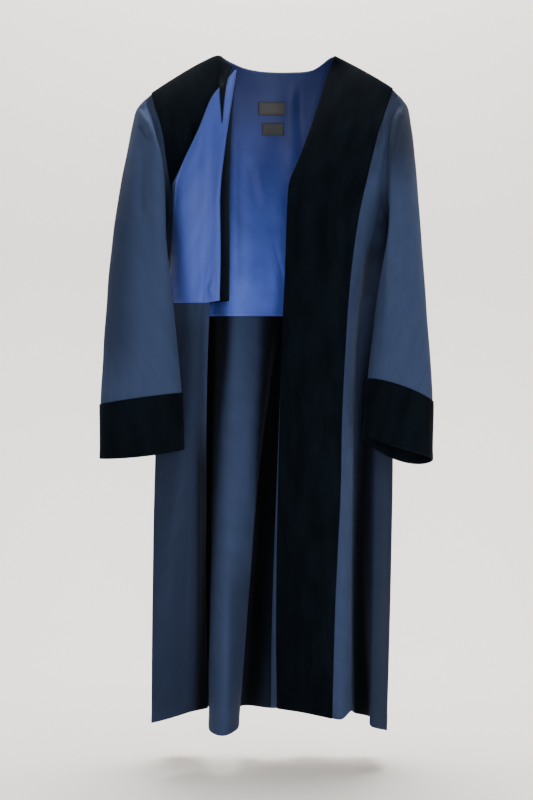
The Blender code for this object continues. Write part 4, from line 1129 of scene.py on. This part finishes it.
def onBackLining(across, down, lift):
    # the point of the lining's inner face seen at that place, with its outward normal
    points, normals = backLining["points"], backLining["normals"]
    first, last = backMarks["backNeckLeft"], backMarks["columnLeftFoot"]
    window = points[:, first - 4:last + 4]
    off = (seenAcross(window) - across) ** 2 + (seenDown(window) - down) ** 2
    j, i = np.unravel_index(np.argmin(off), off.shape)
    point, normal = window[j, i], normals[:, first - 4:last + 4][j, i]
    offset = placeKnots([(across, down, point[1] / mm)])[0]
    # slide along the cloth to the exact place
    slip = offset - point
    slip -= normal * slip.dot(normal)
    return point + slip - normal * (-underWool + 0.5 * cloth["satinThick"] + lift), normal


def makeLabel(name, node, left, right, top, bottom):
    rows, columns = labelCut["rows"], labelCut["columns"]
    points = np.zeros((rows, columns, 3))
    normals = np.zeros((rows, columns, 3))
    for j, i in np.ndindex(rows, columns):
        across = left + (right - left) * i / (columns - 1)
        down = top + (bottom - top) * j / (rows - 1)
        points[j, i], normals[j, i] = onBackLining(across, down, labelCut["lift"])
    average = normals.mean(axis=(0, 1))
    normals[:] = average / np.linalg.norm(average)
    points = smoothed(points, 6) - normals * labelCut["raise"]
    sheet = measured({"points": points, "normals": normals})
    piece = clothPiece(name, sheet, 0.0, labelCut["thick"], labelCloth)
    keep(piece, node)
    return points - normals * labelCut["thick"] * 0.5, normals


labelFaces = {name: makeLabel(name, *place) for name, place in labelCut["places"].items()}
print("labels made")


# stitches: one tree lays thread stitches along any path
stitch = {"length": 0.0026, "pitch": 0.0036, "thick": 0.00045, "thin": -2.4, "fromHem": 0.006,
          "clear": 0.0001}


def stitchTree():
    tree = bpy.data.node_groups.new("threadStitches", "GeometryNodeTree")
    face = tree.interface
    face.new_socket("Path", in_out="INPUT", socket_type="NodeSocketGeometry")
    for name, value in (("Stitch length", stitch["length"]), ("Stitch pitch", stitch["pitch"]),
                        ("Thread thickness", stitch["thick"])):
        socket = face.new_socket(name, in_out="INPUT", socket_type="NodeSocketFloat")
        socket.default_value = value
    face.new_socket("Thread", in_out="INPUT", socket_type="NodeSocketMaterial")
    face.new_socket("Stitches", in_out="OUTPUT", socket_type="NodeSocketGeometry")
    nodes, links = tree.nodes, tree.links
    source = nodes.new("NodeGroupInput")
    result = nodes.new("NodeGroupOutput")
    points = nodes.new("GeometryNodeCurveToPoints")
    points.mode = "LENGTH"
    links.new(source.outputs["Path"], points.inputs["Curve"])
    links.new(source.outputs["Stitch pitch"], points.inputs["Length"])
    body = nodes.new("GeometryNodeMeshCylinder")
    body.inputs["Vertices"].default_value = 6
    body.inputs["Side Segments"].default_value = 3
    links.new(source.outputs["Thread thickness"], body.inputs["Radius"])
    links.new(source.outputs["Stitch length"], body.inputs["Depth"])
    # both ends thin, as thread does where it enters the cloth
    split = nodes.new("ShaderNodeSeparateXYZ")
    links.new(nodes.new("GeometryNodeInputPosition").outputs[0], split.inputs[0])
    along = mathNode(tree, "DIVIDE", split.outputs["Z"], source.outputs["Stitch length"])
    along = mathNode(tree, "POWER", mathNode(tree, "ABSOLUTE", along, 0.0), 2.0)
    thin = mathNode(tree, "MULTIPLY", along, stitch["thin"])
    thinner = nodes.new("ShaderNodeCombineXYZ")
    for axis in ("X", "Y"):
        links.new(mathNode(tree, "MULTIPLY", split.outputs[axis], thin), thinner.inputs[axis])
    shaped = nodes.new("GeometryNodeSetPosition")
    links.new(body.outputs["Mesh"], shaped.inputs["Geometry"])
    links.new(thinner.outputs[0], shaped.inputs["Offset"])
    lay = nodes.new("GeometryNodeInstanceOnPoints")
    links.new(points.outputs["Points"], lay.inputs["Points"])
    links.new(shaped.outputs["Geometry"], lay.inputs["Instance"])
    links.new(points.outputs["Rotation"], lay.inputs["Rotation"])
    real = nodes.new("GeometryNodeRealizeInstances")
    links.new(lay.outputs["Instances"], real.inputs["Geometry"])
    paint = nodes.new("GeometryNodeSetMaterial")
    links.new(real.outputs["Geometry"], paint.inputs["Geometry"])
    links.new(source.outputs["Thread"], paint.inputs["Material"])
    links.new(paint.outputs["Geometry"], result.inputs["Stitches"])
    return tree


stitches = stitchTree()


def sewAlong(name, paths, thread):
    curve = bpy.data.curves.new(name + "Path", "CURVE")
    curve.dimensions = "3D"
    for path in paths:
        spline = curve.splines.new("POLY")
        spline.points.add(len(path) - 1)
        spline.points.foreach_set("co", np.column_stack([path, np.ones(len(path))]).ravel())
    guide = placed(name + "Guide", curve)
    modifier = guide.modifiers.new("stitches", "NODES")
    modifier.node_group = stitches
    identifiers = {item.name: item.identifier for item in stitches.interface.items_tree
                   if item.item_type == "SOCKET" and item.in_out == "INPUT"}
    modifier[identifiers["Thread"]] = thread
    guide.update_tag()
    evaluated = guide.evaluated_get(bpy.context.evaluated_depsgraph_get())
    mesh = bpy.data.meshes.new_from_object(evaluated)
    mesh.name = name
    mesh.polygons.foreach_set("use_smooth", [True] * len(mesh.polygons))
    piece = placed(name, mesh)
    bpy.data.objects.remove(guide, do_unlink=True)
    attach(piece, "root")


def rowPath(sheet, lift):
    # a line parallel to a sheet's hem, on its inner face
    drops, points, normals = (sheet[key] for key in ("v", "points", "normals"))
    path = []
    for i in range(points.shape[1]):
        row = np.interp(drops[-1, i] - stitch["fromHem"], drops[:, i], np.arange(len(drops)))
        low = min(int(row), len(drops) - 2)
        share = row - low
        point = points[low, i] * (1 - share) + points[low + 1, i] * share
        path.append(point - normals[low, i] * lift)
    return np.array(path)


looseFace = 0.5 * cloth["satinThick"] + stitch["clear"]
satinFace = looseFace - underWool
sewAlong("liningHemStitches", [rowPath(sheet, satinFace) for sheet in (backLining, leftLining)],
         satinThread)
sewAlong("flapHemStitches", [rowPath(rightLining, looseFace)], satinThread)
flapEdge = part(rightLining, 2, -3, -3, None)
sewAlong("flapEdgeStitches", [flapEdge["points"][:, 0] - flapEdge["normals"][:, 0] * looseFace],
         satinThread)
borders = []
for name, (face, normals) in labelFaces.items():
    inner = face[1:-1, 1:-1] - normals[1:-1, 1:-1] * 2.0 * stitch["clear"]
    borders.append(np.concatenate([inner[0], inner[1:, -1], inner[-1, -2::-1], inner[-2::-1, 0]]))
sewAlong("labelStitches", borders, darkThread)
print("stitches sewn")


# plain pale studio: a floor that sweeps up into the backdrop
studio = {"floor": -1.37, "backdrop": 2.3, "sweep": 1.2, "width": 9.0, "front": -5.5, "top": 3.6,
          "steps": 16, "paper": (0.94, 0.91, 0.868), "air": (1.0, 0.985, 0.965), "airGlow": 0.07}


def makeStudio():
    floor, sweep, start = studio["floor"], studio["sweep"], studio["backdrop"] - studio["sweep"]
    profile = [(studio["front"], floor), (start, floor)]
    for step in range(1, studio["steps"] + 1):
        turn = math.pi * 0.5 * step / studio["steps"]
        profile.append((start + sweep * math.sin(turn), floor + sweep * (1.0 - math.cos(turn))))
    profile.append((studio["backdrop"], studio["top"]))
    vertices = []
    for y, z in profile:
        vertices += [(-studio["width"], y, z), (studio["width"], y, z)]
    faces = [(2 * k, 2 * k + 1, 2 * k + 3, 2 * k + 2) for k in range(len(profile) - 1)]
    mesh = bpy.data.meshes.new("paperSweep")
    mesh.from_pydata(vertices, [], faces)
    mesh.polygons.foreach_set("use_smooth", [True] * len(mesh.polygons))
    paper, tree, shader = newMaterial("palePaper")
    socketSet(shader, "Base Color", (*studio["paper"], 1.0))
    socketSet(shader, "Roughness", 0.95)
    socketSet(shader, "Specular IOR Level", 0.1)
    mesh.materials.append(paper)
    placed("paperSweep", mesh)


# name: place, aimed at, size, power, colour
lamps = {
    "keyRight": ((2.5, -3.1, 0.35), (0.0, 0.0, -0.5), 1.4, 66.0, (1.0, 0.985, 0.97)),
    "fillLeft": ((-2.8, -2.9, 0.3), (0.0, 0.0, -0.6), 1.8, 20.0, (1.0, 0.99, 0.975)),
    "frontLow": ((0.1, -4.3, -0.5), (0.0, 0.0, -0.5), 1.2, 78.0, (1.0, 0.99, 0.975)),
    "overhead": ((0.0, -0.6, 2.8), (0.0, 0.3, -0.8), 2.8, 17.0, (1.0, 0.99, 0.98)),
    "backdropLight": ((0.0, 0.9, 2.9), (0.0, 2.3, -0.9), 3.0, 345.0, (1.0, 0.98, 0.95)),
}


def makeLight():
    for name, (place, aim, size, power, colour) in lamps.items():
        lamp = bpy.data.lights.new(name, "AREA")
        lamp.shape = "DISK"
        lamp.size = size
        lamp.energy = power
        lamp.color = colour
        holder = placed(name, lamp)
        holder.location = place
        holder.rotation_euler = (Vector(aim) - Vector(place)).to_track_quat("-Z", "Y").to_euler()
    world = bpy.context.scene.world or bpy.data.worlds.new("studioAir")
    bpy.context.scene.world = world
    world.use_nodes = True
    sky = world.node_tree.nodes["Background"]
    socketSet(sky, "Color", (*studio["air"], 1.0))
    socketSet(sky, "Strength", studio["airGlow"])


def makeCamera():
    # level camera at the distance that the sizes were read with
    data = bpy.data.cameras.new("studioCamera")
    data.sensor_fit = "VERTICAL"
    data.sensor_height = view["sensor"]
    data.lens = view["lens"]
    camera = placed("studioCamera", data)
    camera.location = (view["across"], -view["distance"], -view["down"])
    camera.rotation_euler = (math.radians(90.0), 0.0, 0.0)
    bpy.context.scene.camera = camera


makeStudio()
makeLight()
makeCamera()
print("studio ready")
